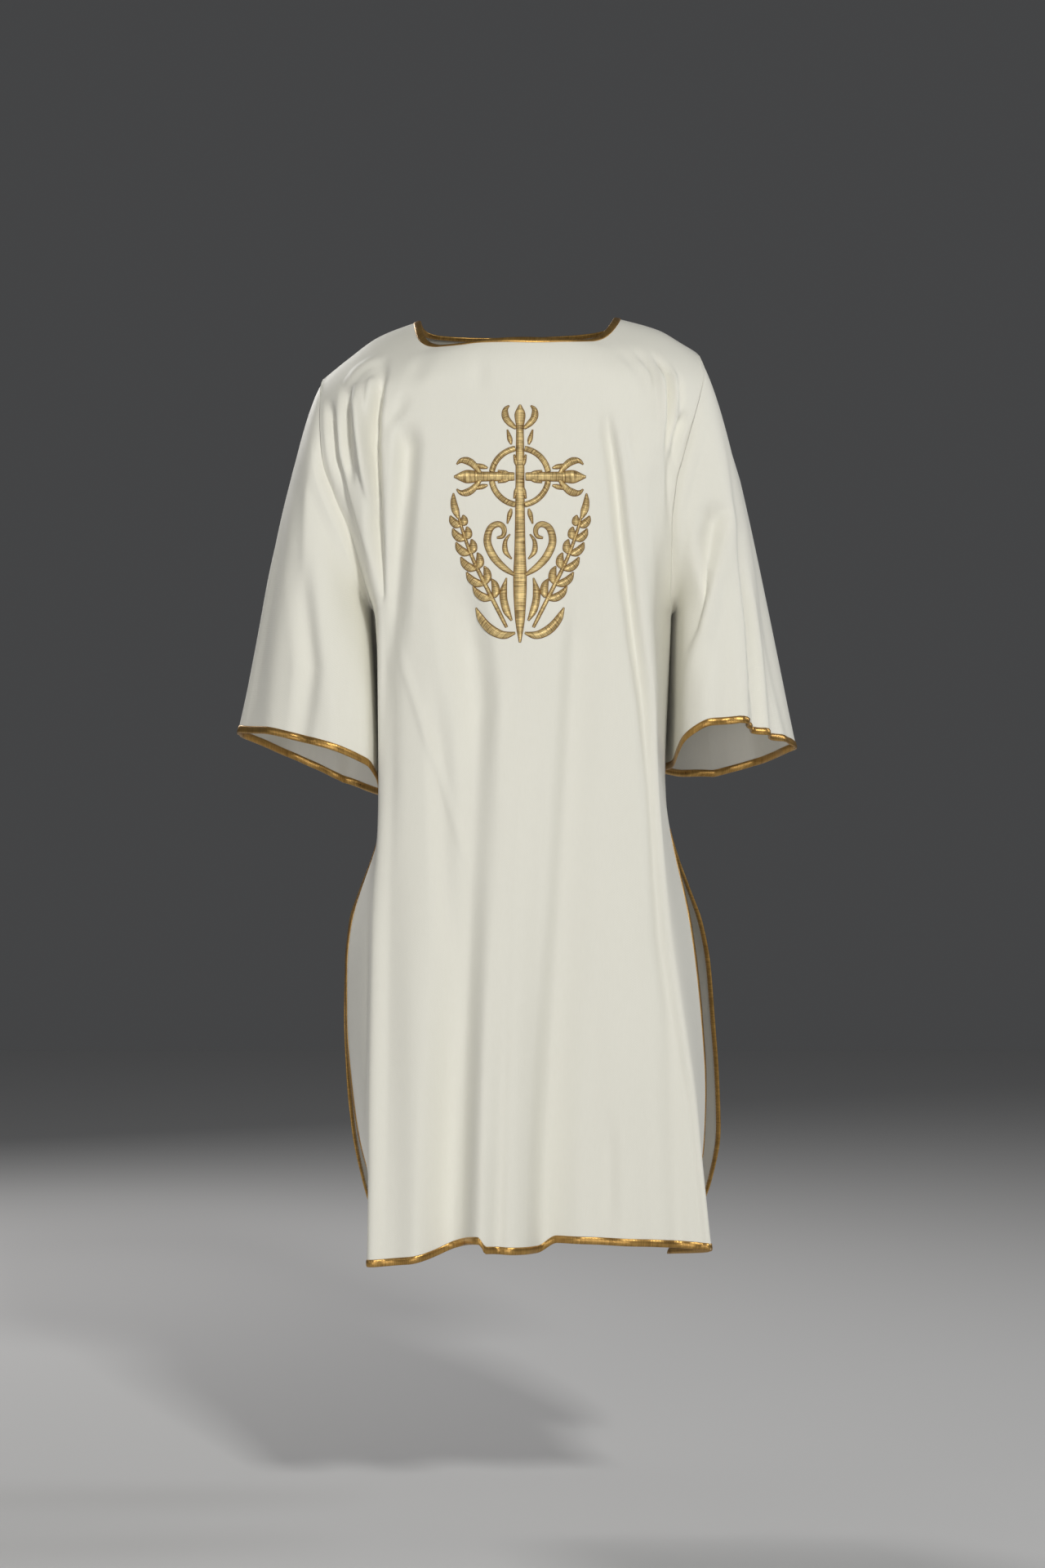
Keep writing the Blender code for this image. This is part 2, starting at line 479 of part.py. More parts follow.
def sheet_solid(name, grid, out, thickness, rgb, closed=False):
    """A grid made into a wall, half its thickness to each side."""
    rows, columns = grid.shape[:2]
    outer = (grid + out * thickness / 2).reshape(-1, 3)
    inner = (grid - out * thickness / 2).reshape(-1, 3)
    points = np.concatenate([outer, inner])
    n = rows * columns
    faces = []
    last = columns if closed else columns - 1
    for i in range(rows - 1):
        for j in range(last):
            k = (j + 1) % columns
            a, b, c, d = i * columns + j, i * columns + k, (i + 1) * columns + k, (i + 1) * columns + j
            faces += quad(a, b, c, d)
            faces += [tuple(p + n for p in f[::-1]) for f in quad(a, b, c, d)]
    for j in range(last):
        k = (j + 1) % columns
        faces += [(k, j, j + n), (k, j + n, k + n)]
        a, b = (rows - 1) * columns + j, (rows - 1) * columns + k
        faces += [(a, b, b + n), (a, b + n, a + n)]
    if not closed:
        for i in range(rows - 1):
            a, b = i * columns, (i + 1) * columns
            faces += [(a, b, b + n), (a, b + n, a + n)]
            a, b = a + columns - 1, b + columns - 1
            faces += [(b, a, a + n), (b, a + n, b + n)]
    return make_solid(name, points, faces, rgb)


def bound_edge(name, edge, inside, edge_out, inside_out, closed=False, from_edge=True):
    """A binding folded over a cloth edge: a U-shaped strip from the cloth's own points.

    Its faces beside the cloth split as the cloth's do, either from the edge or from the inside.
    """
    edge = np.asarray(edge)
    inside = np.asarray(inside)
    inward = inside - edge
    inward = inward / np.linalg.norm(inward, axis=1, keepdims=True)
    near = wall / 2 + binding_gap
    far = near + binding_wall
    ends = edge - inward * binding_gap
    tips = edge - inward * (binding_gap + binding_wall)
    rings = np.stack([
        inside + inside_out * far, tips + edge_out * far, tips - edge_out * far, inside - inside_out * far,
        inside - inside_out * near, ends - edge_out * near, ends + edge_out * near,
        inside + inside_out * near,
    ], axis=1)
    count = len(edge)
    faces = []
    for i in range(count if closed else count - 1):
        for k in range(8):
            m = (k + 1) % 8
            n = (i + 1) % count
            a, b, c, d = i * 8 + k, i * 8 + m, n * 8 + m, n * 8 + k
            if (k in (0, 4)) == from_edge and k % 2 == 0:
                faces += [(a, b, d), (b, c, d)]
            else:
                faces += quad(a, b, c, d)
    if not closed:
        for i, turn in ((0, 1), (count - 1, -1)):
            o = i * 8
            caps = [(0, 7, 6), (0, 6, 1), (1, 6, 5), (1, 5, 2), (2, 5, 4), (2, 4, 3)]
            faces += [tuple(o + p for p in cap[::turn]) for cap in caps]
    return make_solid(name, rings.reshape(-1, 3), faces, ("gold_satin", gold_rgb, 0.35))


cloth_look = ("cream_cloth", cloth_rgb, 0.75)
front, front_out, tip_row, under_row = panel_grid(
    "front", front_shares, front_neck, front_armhole, front_edges, front_sections, front_hem, front_folds)
back, back_out, _, _ = panel_grid(
    "back", back_shares, back_neck, back_armhole, back_edges, back_sections, back_hem, back_folds)
sheet_solid("front_panel", front, front_out, wall, cloth_look)
sheet_solid("back_panel", back, back_out, wall, cloth_look)


def sleeve_grid(side):
    """A sleeve's middle surface, from its armhole to its cuff, and its normals."""
    j = 0 if side == "left" else -1
    turn = -1 if side == "left" else 1
    rows = list(range(tip_row, under_row + 1))
    ring = [front[i, j] for i in rows] + [back[i, j] for i in rows[::-1]][1:-1]
    outs = [front_out[i, j] for i in rows] + [back_out[i, j] for i in rows[::-1]][1:-1]
    ring, outs = np.array(ring), np.array(outs)
    ring[:, 1] = np.where(np.abs(ring[:, 1]) < seam_gap, 0, ring[:, 1])
    # Twice as many points, the new ones half way along the armhole's own edges.
    halfway = (ring + np.roll(ring, -1, axis=0)) / 2
    between = outs + np.roll(outs, -1, axis=0)
    between = between / np.linalg.norm(between, axis=1, keepdims=True)
    ring = np.stack([ring, halfway], 1).reshape(-1, 3)
    outs = np.stack([outs, between], 1).reshape(-1, 3)
    tangent = np.roll(ring, -1, axis=0) - np.roll(ring, 1, axis=0)
    away = np.cross(outs, tangent) * turn
    away = away / np.linalg.norm(away, axis=1, keepdims=True)
    steps = np.linalg.norm(np.roll(ring, -1, axis=0) - ring, axis=1)
    share = np.concatenate([[0], np.cumsum(steps)[:-1]]) / steps.sum()
    under = share[2 * (len(rows) - 1)]
    share = np.where(share <= under, share / under / 2, 0.5 + (share - under) / (1 - under) / 2)
    start = ring + away * seam_gap
    pulls = np.stack([loop_curve(share, sleeve_pulls, c) for c in range(1, 7)], 1)
    first = pulls[:, :3] * [turn, 1, 1]
    last = pulls[:, 3:] * [turn, 1, 1]
    even = np.arange(len(share)) / len(share)
    spread = 0.35 * share + 0.65 * even
    end = np.stack([loop_curve(spread, cuffs[side], c) for c in (1, 2, 3)], 1)
    grid = []
    for v in sleeve_rows:
        w = 1 - v
        grid.append(w ** 3 * start + 3 * w * w * v * (start + first) + 3 * w * v * v * (end + last)
                    + v ** 3 * end)
    grid = np.array(grid)
    sign = 1 if side == "right" else -1
    out = normals_of(grid, closed=True) * sign
    height = grid[:, :, 2]
    ahead = np.clip(-out[:, :, 1], 0, 1) * fold_lift(grid[:, :, 0], height, sleeve_folds[side])
    behind = np.clip(out[:, :, 1], 0, 1) * fold_lift(grid[:, :, 0], height, sleeve_back_folds[side])
    ease = np.clip(np.array(sleeve_rows) / 0.15, 0, 1)[:, None]
    grid = grid + out * ((ahead + behind) * ease)[:, :, None]
    out = normals_of(grid, closed=True) * sign
    out[0] = outs
    return grid, out


sleeves = {}
for side in ("left", "right"):
    grid, out = sleeve_grid(side)
    sleeves[side] = (grid, out)
    sheet_solid(side + "_sleeve", grid, out, wall, cloth_look, closed=True)
    bound_edge(side + "_cuff_binding", grid[-1], grid[-2], out[-1], out[-2], True, False)

# The neck binding runs round both necklines and meets at the two shoulder seams.
bound_edge("front_neck_binding", front[0], front[1], front_out[0], front_out[1])
bound_edge("back_neck_binding", back[0], back[1], back_out[0], back_out[1])
bound_edge("front_hem_binding", front[-1], front[-2], front_out[-1], front_out[-2], False, False)
bound_edge("back_hem_binding", back[-1], back[-2], back_out[-1], back_out[-2], False, False)


def slit_binding(name, grid, out, j, inner):
    """The binding of one slit edge, from the slit's top to just above the hem binding."""
    first = under_row + 1 + slit_top_row
    rows = range(first + 1, len(grid) - 2)

    def down(values, column):
        start = values[first, column] + 0.25 * (values[first + 1, column] - values[first, column])
        end = values[-3, column] + 0.93 * (values[-2, column] - values[-3, column])
        return np.array([start] + [values[i, column] for i in rows] + [end])

    edge_out = down(out, j)
    inside_out = down(out, inner)
    edge_out = edge_out / np.linalg.norm(edge_out, axis=1, keepdims=True)
    inside_out = inside_out / np.linalg.norm(inside_out, axis=1, keepdims=True)
    bound_edge(name, down(grid, j), down(grid, inner), edge_out, inside_out, False, j == 0)


slit_binding("front_left_slit_binding", front, front_out, 0, 1)
slit_binding("front_right_slit_binding", front, front_out, -1, -2)
slit_binding("back_left_slit_binding", back, back_out, 0, 1)
slit_binding("back_right_slit_binding", back, back_out, -1, -2)

outer = front + front_out * wall / 2
corners = [outer[:-1, :-1], outer[:-1, 1:], outer[1:, 1:], outer[1:, :-1]]
corners = [c.reshape(-1, 3) for c in corners]
first_point = np.concatenate([corners[0], corners[0]])
second_point = np.concatenate([corners[1], corners[2]])
third_point = np.concatenate([corners[2], corners[3]])


def on_chest(x, height):
    """The point of the front panel's outer face at this place in the front view, and its normal."""
    ax, az = first_point[:, 0], first_point[:, 2]
    bx, bz = second_point[:, 0] - ax, second_point[:, 2] - az
    cx, cz = third_point[:, 0] - ax, third_point[:, 2] - az
    whole = bx * cz - cx * bz
    whole = np.where(np.abs(whole) < 1e-12, 1e-12, whole)
    u = ((x - ax) * cz - cx * (height - az)) / whole
    v = (bx * (height - az) - (x - ax) * bz) / whole
    held = np.where((u > -1e-6) & (v > -1e-6) & (u + v < 1 + 1e-6))[0]
    best = None
    for k in held:
        a, b, c = first_point[k], second_point[k], third_point[k]
        point = a + u[k] * (b - a) + v[k] * (c - a)
        if best is None or point[1] < best[0][1]:
            normal = np.cross(b - a, c - a)
            normal = normal / np.linalg.norm(normal)
            best = (point, normal if normal[1] < 0 else -normal)
    return best


def raised_strip(name, thickness, line):
    """One raised piece of the chest work, laid on the front panel's own outer face."""
    line = np.array(line)
    steps = np.linalg.norm(np.diff(line[:, :2], axis=0), axis=1)
    along = np.concatenate([[0], np.cumsum(steps)])
    at = np.linspace(0, along[-1], max(4, int(along[-1] / 0.011)))
    x, height, width = (curve(at, along, line[:, c]) for c in range(3))
    dx, dz = np.gradient(x), np.gradient(height)
    size = np.hypot(dx, dz)
    points = []
    for i in range(len(at)):
        ax, az = -dz[i] / size[i], dx[i] / size[i]
        for part, rise in ((-0.5, 0.0), (0.5, 0.0), (0.3, 1.0), (-0.3, 1.0)):
            base, normal = on_chest(x[i] + ax * width[i] * part, height[i] + az * width[i] * part)
            points.append(base + normal * (emblem_gap + rise * thickness))
    faces = []
    for i in range(len(at) - 1):
        for k in range(4):
            m = (k + 1) % 4
            faces += quad(i * 4 + k, i * 4 + m, i * 4 + 4 + m, i * 4 + 4 + k)
    o = len(points) - 4
    faces += [(2, 1, 0), (3, 2, 0), (o, o + 1, o + 2), (o, o + 2, o + 3)]
    make_solid(name, points, faces, ("gold_thread", gold_rgb, 0.45))


for name, thickness, line in emblem_strips:
    raised_strip(name, thickness, line)
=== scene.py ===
import math

import bpy
import numpy as np
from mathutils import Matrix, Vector
from mathutils.bvhtree import BVHTree


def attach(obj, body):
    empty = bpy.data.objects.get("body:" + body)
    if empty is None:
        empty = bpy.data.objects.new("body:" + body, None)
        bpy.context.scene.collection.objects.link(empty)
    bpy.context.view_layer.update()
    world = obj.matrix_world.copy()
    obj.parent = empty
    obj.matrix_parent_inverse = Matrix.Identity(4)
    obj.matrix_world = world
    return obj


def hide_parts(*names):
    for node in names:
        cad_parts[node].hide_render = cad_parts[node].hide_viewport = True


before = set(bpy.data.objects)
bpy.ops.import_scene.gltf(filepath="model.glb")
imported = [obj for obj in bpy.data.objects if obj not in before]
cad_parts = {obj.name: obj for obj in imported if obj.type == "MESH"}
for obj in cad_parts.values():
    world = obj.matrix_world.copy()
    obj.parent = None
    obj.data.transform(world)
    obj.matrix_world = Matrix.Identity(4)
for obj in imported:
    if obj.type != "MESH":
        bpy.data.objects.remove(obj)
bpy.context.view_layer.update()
print("stage: frame loaded")

# Lengths are in metres here, and in millimetres in the tables.
# What a user would change about the cloth and the two panels.
cloth = {
    "wall": 0.0012, "seamGap": 0.0006, "relaxTimes": 10, "columnsFront": 191, "columnsBack": 113,
    "seamRows": 24, "armholeRows": 56, "rowGap": 0.009, "neckCrowd": 1.15, "shoulderRoll": 0.095,
    "cornerShare": 0.52, "hemStart": -0.70, "hemPower": 1.5, "threadPitch": 0.0009,
    # inside is the wrong side's colour: darker than light as painted shade for the garment's inner faces.
    "light": (0.86, 0.845, 0.765), "shade": (0.80, 0.78, 0.69), "inside": (0.74, 0.72, 0.66),
}


def metres(table, shares=0):
    # Turns a table of millimetres into metres, apart from its first columns, which are shares.
    table = np.array(table, float)
    table[:, shares:] /= 1000
    return table


# The line over the shoulders, from side to side. Columns: x, height.
ridge = metres([
    (-260, -92), (-235, -72), (-209, -51), (-170, -23), (-120.5, -4), (-60, 15), (0, 22), (60, 17),
    (118.5, 0), (171, -15), (199, -31), (217, -42), (245, -62),
])

# The shoulder seams, neck to tip. Columns: share of the way, left x, right x.
shoulderRows = metres([
    (0, -120.5, 118.5), (0.07, -128.5, 126.5), (0.3, -155, 149), (0.55, -184, 174), (0.8, -213, 198),
    (1, -235, 217),
], 1)

# The armholes, tip to underarm, as the front view shows them. y is before the shoulder rounds it.
# Columns: left x, left y, left height, right x, right y, right height.
frontArmhole = metres([
    (-238, -76, -78, 220.5, -76, -52), (-239.5, -76, -92, 225.5, -76, -70),
    (-240, -77, -118, 220.5, -78, -95), (-238.5, -81, -148, 211, -82, -130),
    (-235, -84, -182, 200, -86, -170), (-221, -84, -222, 189, -87, -215),
    (-205, -80, -262, 185, -82, -260), (-191, -68, -305, 184.5, -66, -305),
    (-182, -42, -340, 185, -42, -340), (-177, -20, -358, 186.5, -20, -358),
    (-175.5, 0, -365, 187, 0, -365),
])
backArmhole = metres([
    (-237.5, 74, -78, 220, 74, -52), (-238, 78, -92, 222.5, 78, -70), (-235, 84, -118, 218, 84, -95),
    (-228, 90, -148, 211, 90, -130), (-219, 94, -182, 204, 94, -170), (-208, 94, -222, 197, 94, -215),
    (-197, 88, -262, 191.5, 88, -260), (-187.5, 72, -305, 188, 72, -305),
    (-180.5, 44, -340, 187, 44, -340), (-177, 20, -358, 187, 20, -358), (-175.5, 0, -365, 187, 0, -365),
])

# Named heights of both panels below the armholes: down the side seam, then down the slit's edges.
lowerHeights = [-height / 1000 for height in (
    410, 460, 510, 560, 590, 615, 655, 720, 790, 860, 930, 1000, 1060, 1105, 1127, 1135)]
slitTopRow = 5
# Columns: height, left x, left y, right x, right y.
sideSeam = [
    (-365, -175.5, 0, 187, 0), (-460, -166, 0, 183, 0), (-560, -159, 0, 179, 0), (-590, -161, 0, 180, 0),
    (-615, -165, 0, 183, 0),
]
frontEdges = metres(sideSeam + [
    (-655, -176, -10, 191, -9), (-700, -193, -20, 202, -18), (-740, -205, -28, 210, -26),
    (-790, -210, -33, 217, -31), (-860, -209.5, -38, 223.5, -36), (-930, -203, -46, 227, -42),
    (-1000, -192, -56, 224, -50), (-1060, -173, -66, 214, -60), (-1135, -150, -76, 180, -74),
])
backEdges = metres(sideSeam + [
    (-655, -177, 12, 194, 12), (-700, -195, 24, 211, 24), (-740, -208, 34, 226, 34),
    (-790, -213, 41, 236, 41), (-860, -215, 48, 242, 48), (-930, -212.5, 56, 247.5, 55),
    (-1000, -206, 64, 250, 62), (-1060, -194, 72, 240, 70), (-1135, -172, 84, 210, 82),
])

# The panels' cross-sections. Each row is a height, and a panel turns back at its two corners.
# Columns: height, left corner x, y, front left y, middle x, middle y, front right y, right corner x, y.
frontSections = metres([
    (20, -160, -92, -100, 4, -104, -100, 146, -92), (-100, -166, -100, -121, 5, -126, -122, 146, -106),
    (-200, -168, -108, -134, 5, -139, -135, 144, -120),
    (-300, -169, -107, -139, 4, -146, -141, 145, -123),
    (-365, -169, -106, -141, 4, -148, -143, 149, -124),
    (-460, -168, -107, -144, 4, -151, -146, 157, -126),
    (-570, -167, -110, -148, 5, -156, -150, 163, -129),
    (-750, -171, -124, -156, 7, -162, -156, 177, -136),
    (-950, -174, -139, -162, 10, -167, -162, 207, -146),
    (-1135, -176, -150, -168, 13, -172, -170, 226, -156),
])
backSections = metres([
    (20, -160, 82, 86, 2, 88, 86, 150, 82), (-100, -163, 104, 112, 2, 114, 112, 156, 104),
    (-200, -160, 116, 124, 2, 125, 124, 156, 116), (-300, -156, 112, 122, 2, 124, 122, 154, 112),
    (-365, -153, 108, 119, 3, 122, 119, 154, 108), (-460, -150, 104, 116, 3, 119, 116, 154, 104),
    (-570, -154, 110, 123, 4, 126, 123, 160, 110), (-750, -170, 122, 138, 6, 141, 138, 182, 122),
    (-950, -180, 134, 149, 8, 152, 149, 205, 134), (-1135, -184, 142, 157, 10, 160, 157, 214, 142),
])
sectionShares = np.array([-1.0, -0.72, -0.36, 0.0, 0.36, 0.72, 1.0])

# The free edge of each neckline in the front view. Columns: share across, x, height.
frontNeck = metres([
    (-1, -120.5, -4), (-0.93, -119, -13), (-0.86, -116.5, -23.5), (-0.79, -112, -33.5),
    (-0.71, -103.5, -40.5), (-0.62, -91, -43.5), (-0.45, -65, -42), (-0.25, -38, -38), (0, 3, -36),
    (0.25, 40, -36.5), (0.45, 64, -37.5), (0.62, 82, -37), (0.71, 92.5, -34), (0.79, 101, -28),
    (0.86, 108, -19.5), (0.93, 114, -9.5), (1, 118.5, 0),
], 1)
backNeck = metres([
    (-1, -120.5, -4), (-0.9, -118.5, -8.5), (-0.78, -112, -13), (-0.64, -96, -15.5), (-0.4, -58, -16),
    (0, 2, -15.5), (0.4, 58, -14), (0.64, 94, -12), (0.78, 109.5, -9.5), (0.9, 116.5, -5), (1, 118.5, 0),
], 1)

# The hems hang a little unevenly. Columns: share across, height against the last row.
frontHem = metres([
    (-1, 0), (-0.72, -6), (-0.5, -1), (-0.32, 18), (-0.215, 25), (-0.18, 14), (0.03, 12), (0.11, 24),
    (0.4, 21), (0.72, 13), (1, 0),
], 1)
backHem = metres([(-1, 0), (-0.72, -8), (0, -4), (0.72, -8), (1, 0)], 1)


def unit(vectors):
    return vectors / np.maximum(np.linalg.norm(vectors, axis=-1, keepdims=True), 1e-9)


def runLength(points):
    # How far along its line each point lies.
    return np.concatenate([[0], np.cumsum(np.linalg.norm(np.diff(points, axis=0), axis=1))])


def curve(at, places, values):
    # A smooth line through the values, with no swing past them.
    places = np.asarray(places, float)
    values = np.asarray(values, float)
    gaps = np.diff(places)
    slopes = np.diff(values) / gaps
    steep = np.zeros(len(places))
    steep[0] = slopes[0]
    steep[-1] = slopes[-1]
    for i in range(1, len(places) - 1):
        a, b = slopes[i - 1], slopes[i]
        if a * b > 0:
            steep[i] = 2 * a * b / (a + b)
    at = np.clip(np.asarray(at, float), places[0], places[-1])
    k = np.clip(np.searchsorted(places, at, side="right") - 1, 0, len(gaps) - 1)
    h = gaps[k]
    u = (at - places[k]) / h
    low = values[k] * (1 + 2 * u) * (1 - u) ** 2 + h * steep[k] * u * (1 - u) ** 2
    high = values[k + 1] * u * u * (3 - 2 * u) - h * steep[k + 1] * u * u * (1 - u)
    return low + high


def byHeight(table, column, height):
    return curve(-np.asarray(height, float), -table[:, 0], table[:, column])


def loopCurve(at, table, column):
    # The same for a table that goes once round, so it joins smoothly.
    places = np.concatenate([table[-3:-1, 0] - 1, table[:, 0], table[1:3, 0] + 1])
    values = np.concatenate([table[-3:-1, column], table[:, column], table[1:3, column]])
    return curve(at, places, values)


def roundOver(x, height):
    # The share of a panel's depth that is left near the line over the shoulders.
    ahead = (curve(x, ridge[:, 0], ridge[:, 1]) - height) / cloth["shoulderRoll"]
    ahead = np.clip(ahead, 0, 1)
    return np.sqrt(1 - (1 - ahead) ** 2)


def foldLift(x, height, folds):
    # How far each point is lifted by the creases, each one rounded like a cosine across its line.
    total = np.zeros_like(x)
    for _, depth, toLeft, toRight, line in folds:
        depth, toLeft, toRight = depth / 1000, toLeft / 1000, toRight / 1000
        line = [(x / 1000, z / 1000, part) for x, z, part in line]
        nearest = np.full_like(x, 9.0)
        lift = np.zeros_like(x)
        for (x0, z0, part0), (x1, z1, part1) in zip(line[:-1], line[1:]):
            along = (x - x0) * (x1 - x0) + (height - z0) * (z1 - z0)
            along = along / ((x1 - x0) ** 2 + (z1 - z0) ** 2)
            held = np.clip(along, 0, 1)
            dx = x - (x0 + held * (x1 - x0))
            dz = height - (z0 + held * (z1 - z0))
            away = np.hypot(dx, dz)
            reach = np.where(dx < 0, toLeft, toRight)
            shape = np.where(away < reach, np.cos(np.pi / 2 * np.clip(away / reach, 0, 1)) ** 2, 0)
            here = depth * (part0 + held * (part1 - part0)) * shape
            closer = away < nearest
            nearest = np.where(closer, away, nearest)
            lift = np.where(closer, here, lift)
        total = total + lift
    return total


def normalsOf(grid, closed=False):
    down = np.gradient(grid, axis=0)
    if closed:
        across = np.roll(grid, -1, axis=1) - np.roll(grid, 1, axis=1)
    else:
        across = np.gradient(grid, axis=1)
    return unit(np.cross(down, across))


# The creases, as front or back view lines. A minus depth is a trough.
# Columns: name, depth, width to its left, width to its right, then points of x, height, share of depth.
frontCreases = [
    ("deep fold by the left armhole", -21, 16, 10,
     [(-163.5, -58, 0.1), (-164.5, -80, 0.5), (-168, -100, 0.9), (-171, -128, 1), (-172, -158, 1),
      (-171, -190, 0.9), (-171, -260, 0.8), (-172, -345, 0.3)]),
    ("left armhole valley", -15, 8, 10,
     [(-228, -105, 0), (-227, -131, 1), (-223, -175, 1), (-211.6, -222, 0.9), (-200, -262, 0.7),
      (-186, -308, 0.4), (-176, -338, 0)]),
    ("left broad valley", -16, 12, 10,
     [(-206, -84, 0), (-206, -111, 0.8), (-205, -150, 1), (-203, -184, 0.7), (-200, -215, 0)]),
    ("left bright ridge", 14, 9, 10,
     [(-194, -86, 0), (-193, -115, 0.9), (-190, -150, 1), (-184, -189, 1), (-178, -222, 0.7),
      (-174, -255, 0)]),
    ("left shoulder arc", 6, 9, 9,
     [(-166, -56, 0.2), (-180, -62, 1), (-194, -71, 1), (-204, -86, 0.6), (-208, -100, 0)]),
    ("left inner arc", 7, 8, 8, [(-166, -76, 0), (-176, -88, 1), (-180, -120, 0.9), (-181, -150, 0)]),
    ("left soft diagonal", -5, 10, 16,
     [(-132, -100, 0), (-142, -117, 0.9), (-154, -134, 1), (-164, -152, 0.4)]),
    ("left broad body valley", -19, 18, 26,
     [(-140, -135, 0), (-135, -166, 0.9), (-137, -200, 1), (-142, -250, 0.9), (-147, -313, 0.8),
      (-149, -358, 0.6), (-152, -430, 0)]),
    ("left edge fall", -13, 10, 36,
     [(-172, -190, 0.1), (-172, -300, 0.9), (-170, -450, 1), (-169, -570, 0.7), (-170, -680, 0)]),
    ("right shoulder valley", -11, 8, 7,
     [(160, -52, 0.1), (171, -64, 0.7), (180, -77, 1), (182, -99, 1), (182, -135, 1), (180, -162, 0.9),
      (181, -215, 0.7), (181, -270, 0)]),
    ("right shoulder inner ridge", 6, 10, 7,
     [(162, -64, 0), (172.5, -86, 1), (175, -120, 1), (174, -175, 0)]),
    ("right shoulder outer ridge", 7, 6, 6,
     [(179, -66, 0), (187, -82, 1), (188.5, -108, 0.9), (187, -135, 0)]),
    ("right outer valley", -5, 6, 8,
     [(188, -74, 0), (194, -91, 1), (195.5, -115, 0.8), (195, -130, 0.6)]),
    ("right dimple", -13, 7, 10,
     [(200, -124, 0.1), (196, -136, 1), (191, -153, 1), (187, -180, 0.8), (184, -214, 0)]),
    ("right diagonal one", -5, 9, 10, [(138, -48, 0.1), (150, -59, 1), (161, -74, 1), (169, -100, 0)]),
    ("right diagonal two", -3, 11, 10, [(118, -48, 0), (134, -62, 1), (147, -80, 1), (156, -108, 0)]),
    ("right crease shade", -8.5, 16, 7,
     [(104, -120, 0), (111, -158, 0.8), (118, -203, 1), (124.5, -269, 1), (131.5, -322, 1),
      (140, -394, 1), (150, -469, 0.9), (157, -567, 0.7), (168, -753, 0.4), (198, -950, 0)]),
    ("right chest crease", 8.5, 7, 28,
     [(110, -125, 0), (118.5, -158, 0.6), (125.5, -203, 0.8), (132, -269, 1), (139, -322, 1),
      (148, -394, 1), (158, -469, 1), (165, -570, 0.9), (171, -680, 0.8), (178, -753, 0.8),
      (207, -950, 0.8), (226, -1135, 0.8)]),
    ("right chest dimple", -4, 12, 14,
     [(131, -138, 0), (134, -160, 1), (137, -190, 0.7), (142, -225, 0)]),
    ("right underarm hollow", -5, 10, 14,
     [(160, -190, 0), (166, -250, 0.9), (172, -330, 1), (178, -420, 0)]),
    ("centre trough", -18, 44, 32,
     [(-78, -310, 0), (-64, -360, 0.6), (-55, -410, 0.9), (-48, -480, 0.7), (-50, -560, 0.4),
      (-56, -680, 0.3), (-66, -820, 0.55), (-77, -990, 0.85), (-84, -1140, 1)]),
    ("centre ridge", 27, 26, 26,
     [(-18, -420, 0), (-24, -500, 0.25), (-30, -640, 0.2), (-36, -820, 0.5), (-41, -1000, 0.9),
      (-44, -1140, 1)]),
    ("centre ridge's right side", 19, 30, 36,
     [(0, -480, 0), (-4, -640, 0.3), (-7, -820, 0.6), (-10, -1000, 0.9), (-11, -1140, 1)]),
    ("right of centre trough", -18, 24, 46,
     [(74, -320, 0), (68, -400, 0.5), (60, -560, 0.55), (52, -700, 0.5), (42, -850, 0.7),
      (34, -1000, 0.9), (31, -1140, 1)]),
    ("drag ridge", 2.6, 6, 11, [(-150, -390, 0), (-135, -437, 0.8), (-95, -560, 1), (-53, -692, 0)]),
    ("far left valley", -7, 20, 22, [(-98, -440, 0), (-94, -520, 1), (-90, -640, 0.9), (-86, -780, 0)]),
    ("left lower ridge", 8, 34, 40, [(-122, -640, 0), (-120, -850, 0.7), (-116, -1140, 1)]),
    ("right lower ridge", 8, 40, 36, [(112, -640, 0), (120, -880, 0.7), (130, -1140, 1)]),
    ("low right dimple", -4, 14, 16,
     [(107, -950, 0), (108, -1000, 1), (108, -1060, 0.9), (107, -1110, 0)]),
    ("right corner trough", -6, 26, 18, [(166, -720, 0), (182, -900, 0.8), (192, -1140, 1)]),
    ("left corner edge", 8, 10, 18,
     [(-166, -420, 0), (-166, -570, 0.7), (-169, -750, 1), (-172, -950, 1), (-174, -1140, 1)]),
    ("neck drag left", -3, 14, 20, [(-112, -52, 0.4), (-122, -76, 1), (-134, -100, 0)]),
    ("upper chest hollow", -2.5, 16, 18, [(-50, -52, 0), (-47, -80, 1), (-46, -110, 0)]),
]
backCreases = [
    ("left back trough", -14, 34, 28,
     [(-140, -190, 0), (-118, -420, 0.7), (-112, -800, 1), (-118, -1140, 1)]),
    ("left back ridge", 12, 34, 38, [(-62, -420, 0), (-58, -800, 0.8), (-60, -1140, 1)]),
    ("middle back trough", -13, 38, 32, [(10, -360, 0), (4, -700, 0.7), (0, -1140, 1)]),
    ("right back ridge", 12, 30, 40, [(70, -460, 0), (74, -820, 0.9), (80, -1140, 1)]),
    ("right back trough", -15, 32, 30,
     [(138, -200, 0), (126, -460, 0.8), (140, -850, 1), (150, -1140, 0.9)]),
    ("left shoulder drag", -4, 16, 20,
     [(-190, -80, 0), (-182, -130, 1), (-168, -210, 0.8), (-160, -290, 0)]),
    ("right shoulder drag", -4, 20, 16,
     [(178, -70, 0), (172, -130, 1), (164, -220, 0.8), (158, -310, 0)]),
    ("yoke swell", 3, 50, 50, [(-70, -60, 0), (-50, -100, 1), (40, -110, 1), (80, -70, 0)]),
    ("waist drag", -3, 18, 18, [(-20, -300, 0), (-36, -380, 1), (-44, -480, 0)]),
    ("far left back ridge", 6, 20, 22, [(-160, -520, 0), (-158, -800, 0.8), (-160, -1140, 1)]),
    ("far right back ridge", 6, 22, 18, [(172, -560, 0), (182, -850, 0.8), (190, -1140, 1)]),
]


